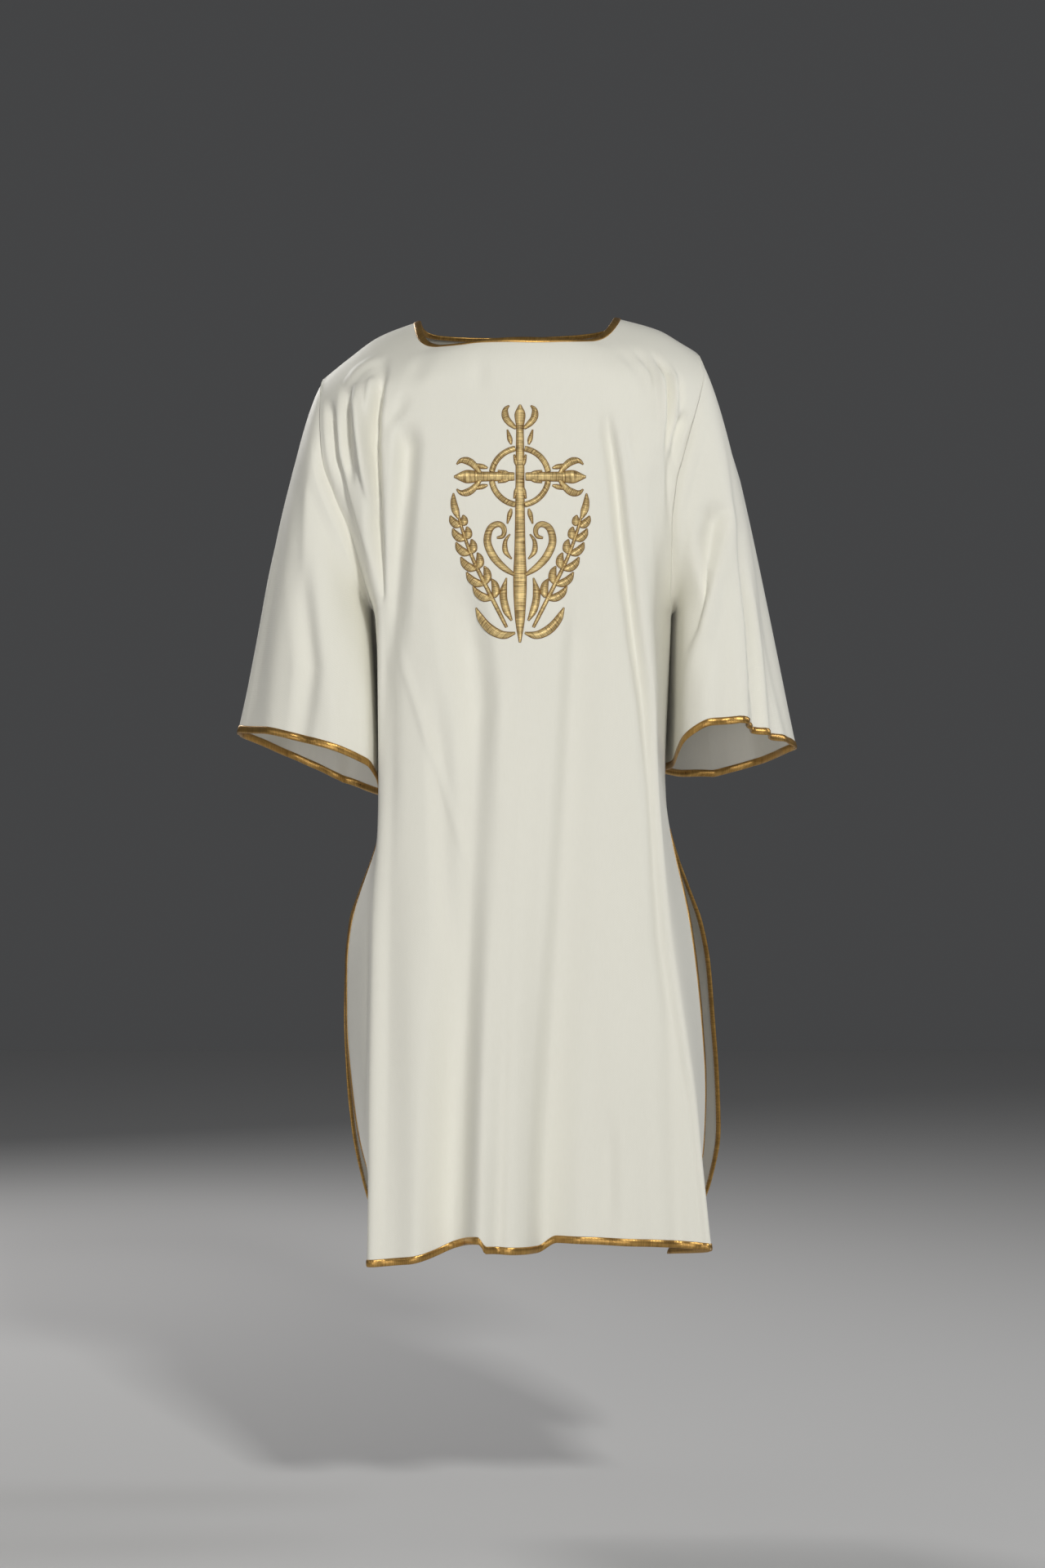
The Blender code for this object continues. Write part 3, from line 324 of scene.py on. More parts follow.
def finer(table, steps):
    # The table's rows again, in this many even steps.
    length = runLength(table)
    at = np.linspace(0, length[-1], steps)
    return np.stack([curve(at, length, table[:, c]) for c in range(table.shape[1])], 1)


def relax(grid, closed=False):
    # Evens out the table's joins, leaving every border where it is.
    for _ in range(cloth["relaxTimes"]):
        if closed:
            side = np.roll(grid, 1, axis=1) + np.roll(grid, -1, axis=1)
            new = 0.5 * grid[1:-1] + 0.125 * (side[1:-1] + grid[:-2] + grid[2:])
            grid = np.concatenate([grid[:1], new, grid[-1:]])
        else:
            inner = 0.5 * grid[1:-1, 1:-1] + 0.125 * (
                grid[:-2, 1:-1] + grid[2:, 1:-1] + grid[1:-1, :-2] + grid[1:-1, 2:])
            grid = grid.copy()
            grid[1:-1, 1:-1] = inner
    return grid


def sectionAt(height, edges, sections):
    # The seven named points of a panel's cross-section, from its left edge to its right one.
    x = np.array([
        byHeight(edges, 1, height), byHeight(sections, 1, height), 0, byHeight(sections, 4, height), 0,
        byHeight(sections, 7, height), byHeight(edges, 3, height)], float)
    for quarter, corner in ((2, 1), (4, 5)):
        x[quarter] = cloth["cornerShare"] * x[corner] + (1 - cloth["cornerShare"]) * x[3]
    y = np.array([
        byHeight(edges, 2, height), byHeight(sections, 2, height), byHeight(sections, 3, height),
        byHeight(sections, 5, height), byHeight(sections, 6, height), byHeight(sections, 8, height),
        byHeight(edges, 4, height)], float)
    return x, y


def shoulderSeam(column):
    # Points of x and height from neck to tip, closer together at the neck.
    share = np.linspace(0, 1, cloth["seamRows"]) ** cloth["neckCrowd"]
    x = curve(share, shoulderRows[:, 0], shoulderRows[:, column])
    return np.stack([x, curve(x, ridge[:, 0], ridge[:, 1])], 1)


def depthsAt(spots, edgeY, shares, edges, sections):
    # Each point's depth at its own height, with the ends held to the armhole.
    levels = 7
    heights = np.linspace(spots[:, 1].min(), spots[:, 1].max(), levels)
    depths = []
    for height in heights:
        y = sectionAt(height, edges, sections)[1]
        y[0], y[-1] = edgeY
        depths.append(curve(shares, sectionShares, y))
    depths = np.array(depths)
    place = (spots[:, 1] - heights[0]) / max(heights[-1] - heights[0], 1e-9) * (levels - 1)
    k = np.clip(place.astype(int), 0, levels - 2)
    part = place - k
    j = np.arange(len(shares))
    return depths[k, j] * (1 - part) + depths[k + 1, j] * part


def upperRows(shares, neck, armhole, edges, sections):
    # From the neckline down to the underarm, filled in between the neck, the seams and the armholes.
    seamLeft = shoulderSeam(1)
    seamRight = shoulderSeam(2)
    tip = [
        seamLeft[-1, 0], armhole[0, 1], seamLeft[-1, 1],
        seamRight[-1, 0], armhole[0, 4], seamRight[-1, 1],
    ]
    hole = finer(np.concatenate([[tip], armhole]), cloth["armholeRows"])[1:]
    left = np.concatenate([seamLeft, hole[:, [0, 2]]])
    right = np.concatenate([seamRight, hole[:, [3, 5]]])
    top = np.stack([curve(shares, neck[:, 0], neck[:, 1]), curve(shares, neck[:, 0], neck[:, 2])], 1)
    top[0] = left[0]
    top[-1] = right[0]
    under = armhole[-1, 2]
    x = sectionAt(under, edges, sections)[0]
    bottom = np.stack([curve(shares, sectionShares, x), np.full(len(shares), under)], 1)
    length = runLength(left)
    toRight = ((shares + 1) / 2)[:, None]
    grid = []
    for i, t in enumerate(length / length[-1]):
        flat = (1 - t) * top + t * bottom
        sides = (1 - toRight) * left[i] + toRight * right[i]
        ends = (1 - toRight) * ((1 - t) * left[0] + t * left[-1])
        ends = ends + toRight * ((1 - t) * right[0] + t * right[-1])
        spots = flat + sides - ends
        armholeRow = i - len(seamLeft)
        edgeY = hole[armholeRow, [1, 4]] if armholeRow >= 0 else armhole[0, [1, 4]]
        depth = depthsAt(spots, edgeY, shares, edges, sections) * roundOver(spots[:, 0], spots[:, 1])
        grid.append(np.stack([spots[:, 0], depth, spots[:, 1]], 1))
    return grid


def heightsBelow(under):
    # Close to even steps between the named heights.
    heights = []
    knots = [under, *lowerHeights]
    for high, low in zip(knots[:-1], knots[1:]):
        steps = max(2, int(round((high - low) / cloth["rowGap"])))
        heights += list(np.linspace(high, low, steps + 1)[1:])
    return heights


def panelGrid(sign, columns, neck, armhole, edges, sections, hem, creases):
    # sign is -1 for the front and 1 for the back. The grid's points, then the outward directions.
    shares = np.linspace(-1, 1, columns)
    grid = upperRows(shares, neck, armhole, edges, sections)
    underRow = len(grid) - 1
    heights = heightsBelow(armhole[-1, 2])
    slitRow = len(grid) + int(np.argmin(np.abs(np.array(heights) - lowerHeights[slitTopRow])))
    lift = curve(shares, hem[:, 0], hem[:, 1])
    for height in heights:
        waved = np.clip((height - cloth["hemStart"]) / (lowerHeights[-1] - cloth["hemStart"]), 0, 1)
        x, y = sectionAt(height, edges, sections)
        grid.append(np.stack([
            curve(shares, sectionShares, x), curve(shares, sectionShares, y),
            height + lift * waved ** cloth["hemPower"]], 1))
    grid = relax(np.array(grid))
    out = normalsOf(grid) * -sign
    facing = np.clip(out[:, :, 1] * sign, 0, 1)
    lifted = foldLift(grid[:, :, 0], grid[:, :, 2], creases)
    grid = grid + out * (lifted * facing)[:, :, None]
    seamRows = list(range(cloth["seamRows"])) + list(range(underRow, slitRow + 1))
    for j in (0, -1):
        grid[seamRows, j, 1] = sign * cloth["seamGap"] / 2
    out = normalsOf(grid) * -sign
    for j in (0, -1):
        out[seamRows, j, 1] = 0
        out[seamRows, j] = unit(out[seamRows, j])
    return grid, out, underRow, slitRow


front, frontOut, underRow, slitRow = panelGrid(
    -1, cloth["columnsFront"], frontNeck, frontArmhole, frontEdges, frontSections, frontHem, frontCreases)
back, backOut, _, _ = panelGrid(
    1, cloth["columnsBack"], backNeck, backArmhole, backEdges, backSections, backHem, backCreases)
tipRow = cloth["seamRows"] - 1
print("stage: panels worked out")

# What a user would change about the sleeves. The lean is how far the inner wall moves to the body's side.
sleeve = {
    "rows": 96, "capCrowd": 1.2, "cuffByArmhole": 0.35, "creaseStart": 0.12,
    "lean": {"left": 0.006, "right": 0.014}, "leanPlace": 0.052, "leanWidth": 0.036, "leanStart": 0.16,
}
# How a sleeve leaves its armhole and reaches its cuff, round from the top over the front.
# The pulls are for the right sleeve, and the left has x the other way.
# Columns: share round, then first pull x, y, z, then last pull x, y, z.
sleevePulls = metres([
    (0, 30, 0, -45, -38, 0, 170), (0.12, 30, -14, -50, -30, 12, 170), (0.25, 30, -10, -50, -16, 16, 160),
    (0.36, 32, 4, -32, -6, 6, 150), (0.44, 22, 12, 2, -3, 0, 160), (0.5, 12, 0, 22, 6, 0, 190),
    (0.56, 18, -10, 0, -12, 0, 160), (0.64, 28, -2, -34, -18, -10, 150),
    (0.75, 30, 12, -50, -16, -20, 160), (0.88, 30, 14, -50, -30, -16, 170), (1, 30, 0, -45, -38, 0, 170),
], 1)
# The cuffs, round from the outer corner over the front. Columns: share round, x, y, height.
cuffs = {
    "left": metres([
        (0, -346, 4, -507.5), (0.06, -332, -40, -507.5), (0.13, -304, -80, -509),
        (0.22, -270, -106, -516), (0.3, -238, -116, -524), (0.37, -208, -114, -534),
        (0.43, -182, -100, -548), (0.47, -170, -70, -566), (0.5, -168, -10, -583), (0.55, -172, 60, -584),
        (0.62, -190, 100, -578), (0.7, -222, 124, -564), (0.8, -272, 118, -543), (0.9, -318, 80, -522),
        (0.96, -340, 40, -512), (1, -346, 4, -507.5),
    ], 1),
    "right": metres([
        (0, 339, 10, -526), (0.05, 333, -22, -518.5), (0.12, 308, -60, -513), (0.19, 285, -84, -506),
        (0.26, 260, -104, -497.5), (0.33, 233, -112, -499), (0.39, 212, -106, -508),
        (0.44, 197, -86, -522), (0.5, 190, -20, -546), (0.56, 192, 50, -554), (0.63, 208, 96, -560),
        (0.72, 245, 118, -558), (0.82, 288, 106, -549), (0.91, 322, 70, -536), (0.96, 336, 40, -529),
        (1, 339, 10, -526),
    ], 1),
}
# The creases of the sleeves, in the same columns.
sleeveCreases = {
    "left": [
        ("armhole ridge", 6, 22, 10,
         [(-243, -150, 0), (-236, -205, 0.9), (-222, -238, 1), (-205, -280, 1), (-190, -328, 0.8),
          (-184, -400, 0.4), (-182, -500, 0)]),
        ("front trough", -10, 22, 20,
         [(-263, -290, 0), (-259, -345, 0.7), (-253, -402, 1), (-250, -430, 1), (-256, -483, 0.8),
          (-262, -530, 0.6)]),
        ("upper outer trough", -5, 12, 14,
         [(-262, -180, 0), (-267, -217, 1), (-268, -290, 0.7), (-276, -350, 0)]),
        ("outer soft ridge", 5, 20, 20, [(-286, -280, 0), (-292, -400, 0.9), (-300, -530, 0.9)]),
        ("cuff swell", 4, 20, 20, [(-226, -400, 0), (-224, -470, 0.8), (-222, -540, 0.8)]),
        ("inner edge", 4, 10, 10, [(-187, -400, 0), (-183, -470, 1), (-181, -570, 0.9)]),
    ],
    "right": [
        ("first ridge", 14, 24, 6,
         [(238, -120, 0), (249, -180, 0.3), (256, -247, 0.5), (259.5, -313, 0.7), (265.5, -380, 0.9),
          (268.5, -447, 1), (269, -515, 1)]),
        ("first trough", -12, 6, 12,
         [(262, -235, 0), (268.5, -313, 0.6), (275, -371, 0.9), (280, -429, 1), (285, -483, 1),
          (287, -520, 1)]),
        ("second ridge", 9, 7, 10,
         [(278, -300, 0), (285, -353, 0.7), (291.7, -402, 1), (296, -447, 1), (301, -530, 1)]),
        ("second trough", -6, 8, 12, [(294, -330, 0), (302, -402, 0.9), (308, -450, 1), (314, -530, 1)]),
        ("outer fall", -10, 36, 22, [(286, -250, 0), (302, -350, 0.7), (312, -430, 1), (320, -530, 1)]),
        ("inner hollow", -12, 30, 9,
         [(246, -236, 0.1), (240, -252, 1), (231, -300, 0.9), (222, -340, 0.8), (211, -380, 0.6),
          (195, -416, 0.3), (190, -450, 0)]),
        ("inner ridge", 6, 9, 18,
         [(256, -235, 0), (250, -260, 0.9), (241, -305, 1), (232, -345, 1), (222, -386, 0.9),
          (206, -424, 0.5), (198, -470, 0)]),
        ("armhole ridge", 5, 8, 16,
         [(218, -110, 0), (212, -150, 0.8), (198, -196, 1), (189, -233, 1), (188, -290, 0.7),
          (190, -340, 0)]),
        ("front swell", 4, 20, 20, [(222, -400, 0), (224, -450, 1), (226, -520, 0.8)]),
    ],
}
sleeveBackCreases = {
    "left": [
        ("back trough", -12, 28, 32, [(-214, -220, 0), (-222, -380, 0.9), (-230, -580, 1)]),
        ("back ridge", 8, 28, 26, [(-262, -250, 0), (-278, -400, 0.8), (-290, -570, 1)]),
        ("back drag", -4, 14, 14, [(-232, -120, 0), (-236, -180, 1), (-248, -260, 0)]),
    ],
    "right": [
        ("back trough", -12, 32, 28, [(214, -220, 0), (232, -380, 0.9), (246, -580, 1)]),
        ("back ridge", 9, 26, 28, [(262, -240, 0), (284, -400, 0.8), (296, -570, 1)]),
        ("back drag", -4, 14, 14, [(222, -110, 0), (228, -180, 1), (240, -250, 0)]),
    ],
}
# These are side view lines, with y in place of x.
sleeveSideCreases = {
    "left": [
        ("shoulder fold", 5, 18, 26, [(10, -120, 0), (20, -190, 0.8), (34, -320, 1), (46, -520, 0.7)]),
        ("side trough", -6, 26, 20, [(-4, -200, 0), (0, -330, 0.8), (10, -530, 1)]),
        ("front side fold", 5, 20, 18, [(-30, -180, 0), (-36, -330, 1), (-30, -530, 0.8)]),
        ("rear drag", -4, 16, 22, [(50, -130, 0), (66, -220, 1), (78, -360, 0.6), (82, -460, 0)]),
    ],
    "right": [
        ("shoulder fold", 5, 24, 18, [(-6, -110, 0), (4, -200, 1), (12, -330, 0.9), (22, -540, 0.8)]),
        ("side trough", -6, 20, 24, [(34, -220, 0), (44, -360, 0.9), (52, -550, 1)]),
        ("front side trough", -5, 18, 20, [(-26, -240, 0), (-24, -360, 1), (-20, -530, 0.8)]),
        ("rear drag", 4, 16, 20, [(60, -150, 0), (72, -240, 1), (80, -380, 0)]),
    ],
}


def sleeveGrid(side):
    # One smooth line from the armhole to the cuff for each point round the sleeve.
    j = 0 if side == "left" else -1
    turn = -1 if side == "left" else 1
    rows = list(range(tipRow, underRow + 1))
    around = rows[::-1][1:-1]
    ring = np.concatenate([front[rows, j], back[around, j]])
    outs = np.concatenate([frontOut[rows, j], backOut[around, j]])
    ring[:, 1] = np.where(np.abs(ring[:, 1]) < cloth["seamGap"], 0, ring[:, 1])
    tangent = np.roll(ring, -1, axis=0) - np.roll(ring, 1, axis=0)
    start = ring + unit(np.cross(outs, tangent) * turn) * cloth["seamGap"]
    steps = np.linalg.norm(np.roll(ring, -1, axis=0) - ring, axis=1)
    share = np.concatenate([[0], np.cumsum(steps)[:-1]]) / steps.sum()
    under = share[len(rows) - 1]
    share = np.where(share <= under, share / under / 2, 0.5 + (share - under) / (1 - under) / 2)
    pulls = np.stack([loopCurve(share, sleevePulls, c) for c in range(1, 7)], 1)
    first = pulls[:, :3] * [turn, 1, 1]
    last = pulls[:, 3:] * [turn, 1, 1]
    even = np.arange(len(share)) / len(share)
    spread = sleeve["cuffByArmhole"] * share + (1 - sleeve["cuffByArmhole"]) * even
    end = np.stack([loopCurve(spread, cuffs[side], c) for c in (1, 2, 3)], 1)
    v = np.linspace(0, 1, sleeve["rows"])[:, None, None] ** sleeve["capCrowd"]
    w = 1 - v
    grid = w ** 3 * start + 3 * w * w * v * (start + first) + 3 * w * v * v * (end + last) + v ** 3 * end
    grid = relax(grid, True)
    out = normalsOf(grid, True) * -turn
    x, y, height = (grid[:, :, c] for c in range(3))
    ahead = np.clip(-out[:, :, 1], 0, 1) * foldLift(x, height, sleeveCreases[side])
    behind = np.clip(out[:, :, 1], 0, 1) * foldLift(x, height, sleeveBackCreases[side])
    aside = np.clip(turn * out[:, :, 0], 0, 1) * foldLift(y, height, sleeveSideCreases[side])
    grid = grid + out * ((ahead + behind + aside)[:, :, None] * np.clip(v / sleeve["creaseStart"], 0, 1))
    # The inner wall leans on the body's side behind the seam, so no light shows between the two.
    inward = np.clip(-turn * out[:, :, 0], 0, 1) ** 0.5
    inward = inward * np.exp(-((grid[:, :, 1] - sleeve["leanPlace"]) / sleeve["leanWidth"]) ** 2)
    inward = inward * np.clip(v / sleeve["leanStart"], 0, 1)[:, :, 0]
    grid[:, :, 0] -= turn * sleeve["lean"][side] * inward
    out = normalsOf(grid, True) * -turn
    out[0] = outs
    return grid, out


# What a user would change about the bound edges.
binding = {
    "width": 0.0078, "thick": 0.0007, "gap": 0.0005, "fold": 0.0012, "stationGap": 0.0022,
    "rows": 20, "hemRows": 8, "cuffRows": 10, "slitColumns": 12,
    "stitchInset": 0.0016, "stitchLong": 0.0028, "stitchGap": 0.0009, "stitchWide": 0.00032,
    "light": (0.68, 0.41, 0.125), "dark": (0.18, 0.085, 0.02), "thread": (0.36, 0.20, 0.07),
}
# What a user would change about the chest embroidery.
gold = {
    "lift": 0.0024, "fullWidth": 0.007, "rim": 0.0001, "dome": 0.0004, "cord": 0.0011, "cordLift": 0.0003,
    "cordSides": 6, "stationGap": 0.0018, "light": (0.92, 0.70, 0.33), "dark": (0.15, 0.065, 0.012),
    "cordLight": (0.26, 0.14, 0.04), "cordDark": (0.12, 0.06, 0.016),
}


def link(tree, a, b):
    tree.links.new(a, b)


def mathNode(tree, operation, *values):
    node = tree.nodes.new("ShaderNodeMath")
    node.operation = operation
    for i, value in enumerate(values):
        if isinstance(value, (int, float)):
            node.inputs[i].default_value = value
        else:
            link(tree, value, node.inputs[i])
    return node.outputs[0]


def noiseMask(tree, place, scale, detail):
    noise = tree.nodes.new("ShaderNodeTexNoise")
    noise.inputs["Scale"].default_value = scale
    noise.inputs["Detail"].default_value = detail
    link(tree, place, noise.inputs["Vector"])
    return noise.outputs[0]


def threadGroup(name, crossed, threads, clouds):
    # Threads by the piece's own lengths: a height, a mask that changes from thread to thread, and clouds.
    # Turns is how fast the threads follow each other, and Stretch how short the mask is along them.
    group = bpy.data.node_groups.new(name, "ShaderNodeTree")
    for socketName in ("Turns", "Stretch"):
        group.interface.new_socket(name=socketName, in_out="INPUT", socket_type="NodeSocketFloat")
    for socketName in ("Height", "Threads", "Clouds"):
        group.interface.new_socket(name=socketName, in_out="OUTPUT", socket_type="NodeSocketFloat")
    given = group.nodes.new("NodeGroupInput")
    end = group.nodes.new("NodeGroupOutput")
    uv = group.nodes.new("ShaderNodeUVMap")
    uv.uv_map = "cloth"
    split = group.nodes.new("ShaderNodeSeparateXYZ")
    link(group, uv.outputs[0], split.inputs[0])
    wave = mathNode(group, "SINE", mathNode(group, "MULTIPLY", split.outputs[0], given.outputs["Turns"]))
    if crossed:
        turned = mathNode(group, "MULTIPLY", split.outputs[1], given.outputs["Turns"])
        weft = mathNode(group, "SINE", turned)
        wave = mathNode(group, "MULTIPLY", wave, weft)
    scale = group.nodes.new("ShaderNodeCombineXYZ")
    scale.inputs["X"].default_value = 1
    scale.inputs["Z"].default_value = 1
    link(group, given.outputs["Stretch"], scale.inputs["Y"])
    stretch = group.nodes.new("ShaderNodeMapping")
    link(group, scale.outputs[0], stretch.inputs["Scale"])
    link(group, uv.outputs[0], stretch.inputs["Vector"])
    link(group, mathNode(group, "MULTIPLY_ADD", wave, 0.5, 0.5), end.inputs["Height"])
    link(group, noiseMask(group, stretch.outputs[0], *threads), end.inputs["Threads"])
    link(group, noiseMask(group, uv.outputs[0], *clouds), end.inputs["Clouds"])
    return group


def mixedColours(tree, dark, light, factor):
    ramp = tree.nodes.new("ShaderNodeMix")
    ramp.data_type = "RGBA"
    ramp.inputs["A"].default_value = (*dark, 1)
    ramp.inputs["B"].default_value = (*light, 1)
    link(tree, factor, ramp.inputs["Factor"])
    return ramp.outputs["Result"]


def threadMaterial(name, group, pitch, stretch, colours, middle, spread, bumpDepth, rough,
                   metal=0.0, sheen=0.0):
    # colours are the dark one and the light one. middle is where between them the cloth lies.
    made = bpy.data.materials.new(name)
    made.use_nodes = True
    tree = made.node_tree
    shader = tree.nodes["Principled BSDF"]
    masks = tree.nodes.new("ShaderNodeGroup")
    masks.node_tree = group
    masks.inputs["Turns"].default_value = 2 * math.pi / pitch
    masks.inputs["Stretch"].default_value = stretch
    threads, clouds = 1.4 * spread, 0.9 * spread
    mixed = mathNode(tree, "MULTIPLY_ADD", masks.outputs["Threads"], threads,
                     mathNode(tree, "MULTIPLY", masks.outputs["Clouds"], clouds))
    place = mathNode(tree, "ADD", mixed, middle - (threads + clouds) / 2)
    place.node.use_clamp = True
    link(tree, mixedColours(tree, *colours, place), shader.inputs["Base Color"])
    bump = tree.nodes.new("ShaderNodeBump")
    bump.inputs["Strength"].default_value = 0.55
    bump.inputs["Distance"].default_value = bumpDepth
    link(tree, masks.outputs["Height"], bump.inputs["Height"])
    link(tree, bump.outputs[0], shader.inputs["Normal"])
    unevenness = 0.16
    uneven = mathNode(tree, "MULTIPLY_ADD", masks.outputs["Clouds"], unevenness, rough - unevenness / 2)
    link(tree, uneven, shader.inputs["Roughness"])
    shader.inputs["Metallic"].default_value = metal
    shader.inputs["Sheen Weight"].default_value = sheen
    shader.inputs["Sheen Roughness"].default_value = 0.45
    shader.inputs["Specular IOR Level"].default_value = 0.35
    return made


def plainThread(name, colour):
    made = bpy.data.materials.new(name)
    made.use_nodes = True
    tree = made.node_tree
    shader = tree.nodes["Principled BSDF"]
    place = tree.nodes.new("ShaderNodeTexCoord")
    patches = noiseMask(tree, place.outputs["Object"], 700, 2)
    mixed = mixedColours(tree, [0.7 * c for c in colour], colour, patches)
    link(tree, mixed, shader.inputs["Base Color"])
    shader.inputs["Roughness"].default_value = 0.5
    shader.inputs["Metallic"].default_value = 0.3
    return made


weave = threadGroup("plainWeave", True, (520, 3), (5, 4))
satin = threadGroup("satinRows", False, (900, 2), (60, 3))
creamCloth = threadMaterial(
    "creamCloth", weave, 2 * cloth["threadPitch"], 0.12, (cloth["shade"], cloth["light"]),
    middle=0.95, spread=0.35, bumpDepth=0.00012, rough=0.60, sheen=0.22)
# The wrong side: its rougher, less glossy finish is the cloth's own, and its darker colour is painted
# shade for the inner faces.
wrongSideShaded = threadMaterial(
    "creamClothWrongSidePaintedShade", weave, 2 * cloth["threadPitch"], 0.12, (cloth["shade"], cloth["inside"]),
    middle=0.95, spread=0.35, bumpDepth=0.00012, rough=0.72, sheen=0.1)
goldSatin = threadMaterial(
    "goldSatin", satin, 0.0006, 0.05, (binding["dark"], binding["light"]),
    middle=0.62, spread=0.9, bumpDepth=0.00006, rough=0.30, metal=0.8)
goldThread = threadMaterial(
    "goldThread", satin, 0.00055, 0.04, (gold["dark"], gold["light"]),
    middle=0.66, spread=1.9, bumpDepth=0.00016, rough=0.34, metal=0.55)
darkThread = threadMaterial(
    "darkGoldThread", satin, 0.00055, 0.04, (gold["cordDark"], gold["cordLight"]),
    middle=0.8, spread=0.5, bumpDepth=0.00010, rough=0.5, metal=0.35)
seamThread = plainThread("bindingThread", binding["thread"])
print("stage: materials made")


def gridPiece(name, grid, out, thick, look, closed=False, inner=None, offset=0.0):
    # A flat grid primitive, its points moved onto the form, then given its thickness.
    rows, columns = grid.shape[:2]
    if closed:
        grid = np.concatenate([grid, grid[:, :1]], axis=1)
        out = np.concatenate([out, out[:, :1]], axis=1)
        columns += 1
    bpy.ops.object.select_all(action="DESELECT")
    bpy.ops.mesh.primitive_grid_add(x_subdivisions=columns - 1, y_subdivisions=rows - 1, size=1)
    piece = bpy.context.object
    piece.name = name
    mesh = piece.data
    mesh.name = name
    mesh.vertices.foreach_set("co", grid.reshape(-1).astype(np.float32))
    across = np.linalg.norm(np.diff(grid, axis=1), axis=2)
    down = np.linalg.norm(np.diff(grid, axis=0), axis=2)
    u = np.concatenate([np.zeros((rows, 1)), np.cumsum(across, axis=1)], axis=1)
    u = u - u[:, columns // 2][:, None]
    v = np.concatenate([np.zeros((1, columns)), np.cumsum(down, axis=0)], axis=0)
    layer = mesh.uv_layers[0] if mesh.uv_layers else mesh.uv_layers.new()
    layer.name = "cloth"
    corner = np.zeros(len(mesh.loops), np.int32)
    mesh.loops.foreach_get("vertex_index", corner)
    flat = np.stack([u.reshape(-1)[corner], v.reshape(-1)[corner]], 1)
    layer.data.foreach_set("uv", flat.reshape(-1).astype(np.float32))
    mesh.update()
    facing = np.zeros(len(mesh.polygons) * 3, np.float32)
    mesh.polygons.foreach_get("normal", facing)
    wanted = out[:-1, :-1].reshape(-1)
    bpy.ops.object.mode_set(mode="EDIT")
    bpy.ops.mesh.select_all(action="SELECT")
    if (facing * wanted).sum() < 0:
        bpy.ops.mesh.flip_normals()
    if closed:
        bpy.ops.mesh.remove_doubles(threshold=0.00002)
    bpy.ops.object.mode_set(mode="OBJECT")
    bpy.ops.object.shade_smooth()
    mesh.materials.append(look)
    if inner:
        mesh.materials.append(inner)
    if thick:
        wall = piece.modifiers.new("wall", "SOLIDIFY")
        wall.thickness = thick
        wall.offset = offset
        wall.use_even_offset = False
        wall.material_offset = 1 if inner else 0
        bpy.ops.object.modifier_apply(modifier=wall.name)
    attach(piece, "root")
    return piece


frontPanel = gridPiece("frontPanel", front, frontOut, cloth["wall"], creamCloth, False, wrongSideShaded)
backPanel = gridPiece("backPanel", back, backOut, cloth["wall"], creamCloth, False, wrongSideShaded)
sleeves = {}
for side in ("left", "right"):
    grid, out = sleeveGrid(side)
    piece = gridPiece(side + "Sleeve", grid, out, cloth["wall"], creamCloth, True, wrongSideShaded)
    sleeves[side] = (piece, grid, out)
    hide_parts(side + "_sleeve")
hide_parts("front_panel")
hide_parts("back_panel")
print("stage: panels and sleeves made")


def inset(lines, outs, distance):
    # The points this far along each line from its first point, and the outward directions there.
    spots, facing = [], []
    for j in range(lines.shape[1]):
        along = runLength(lines[:, j])
        spots.append([np.interp(distance, along, lines[:, j, c]) for c in range(3)])
        facing.append([np.interp(distance, along, outs[:, j, c]) for c in range(3)])
    return np.array(spots), unit(np.array(facing))


def thinned(lines, outs, spacing):
    # Leaves out stations that stand closer together than the spacing, keeping both ends.
    keep = [0]
    for j in range(1, lines.shape[1]):
        if np.linalg.norm(lines[0, j] - lines[0, keep[-1]]) > spacing:
            keep.append(j)
    if keep[-1] != lines.shape[1] - 1:
        keep[-1] = lines.shape[1] - 1
    return lines[:, keep], outs[:, keep]


def stitchShape():
    # One short thread, rounded at its ends.
    bpy.ops.object.select_all(action="DESELECT")
    bpy.ops.mesh.primitive_uv_sphere_add(segments=6, ring_count=4, radius=1)
    ball = bpy.context.object
    points = np.array([v.co for v in ball.data.vertices])
    faces = [tuple(p.vertices) for p in ball.data.polygons]
    bpy.data.objects.remove(ball, do_unlink=True)
    return points, faces


ball, ballFaces = stitchShape()


def sampled(at, length, line):
    return np.stack([np.interp(at, length, line[:, c]) for c in range(3)], 1)


def stitchRun(name, runs, closed):
    # Rows of short thread capsules, copied from one sphere primitive.
    points, faces = [], []
    reach = 0.0010
    for line, facing in runs:
        if closed:
            line = np.concatenate([line, line[:1]])
            facing = np.concatenate([facing, facing[:1]])
        length = runLength(line)
        count = max(2, int(length[-1] / (binding["stitchLong"] + binding["stitchGap"])))
        at = (np.arange(count) + 0.5) / count * length[-1]
        centre = sampled(at, length, line)
        along = unit(sampled(at + reach, length, line) - sampled(at - reach, length, line))
        side = unit(np.cross(along, sampled(at, length, facing)))
        normal = np.cross(side, along)
        for k in range(count):
            base = len(points)
            points += list(centre[k] + ball[:, 2:3] * along[k] * binding["stitchLong"] / 2
                           + ball[:, 0:1] * side[k] * binding["stitchWide"]
                           + ball[:, 1:2] * normal[k] * binding["stitchWide"] * 0.7)
            faces += [tuple(p + base for p in face) for face in ballFaces]
    mesh = bpy.data.meshes.new(name)
    mesh.from_pydata(points, [], faces)
    mesh.update()
    piece = bpy.data.objects.new(name, mesh)
    bpy.context.scene.collection.objects.link(piece)
    for polygon in mesh.polygons:
        polygon.use_smooth = True
    mesh.materials.append(seamThread)
    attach(piece, "root")
    return piece


# One face of a folded binding, from its inner line out to the fold.
# Columns: line, how far in from it, height over the binding's rise, share of the rise.
bindingFace = [
    ("inside", 0.0, -0.0002, 1.0), ("inside", -0.0006, 0.0003, 1.0), ("middle", 0.0, 0.0006, 1.0),
    ("edge", 0.0012, 0.0004, 1.0), ("edge", -0.0006, 0.0, 0.8),
]


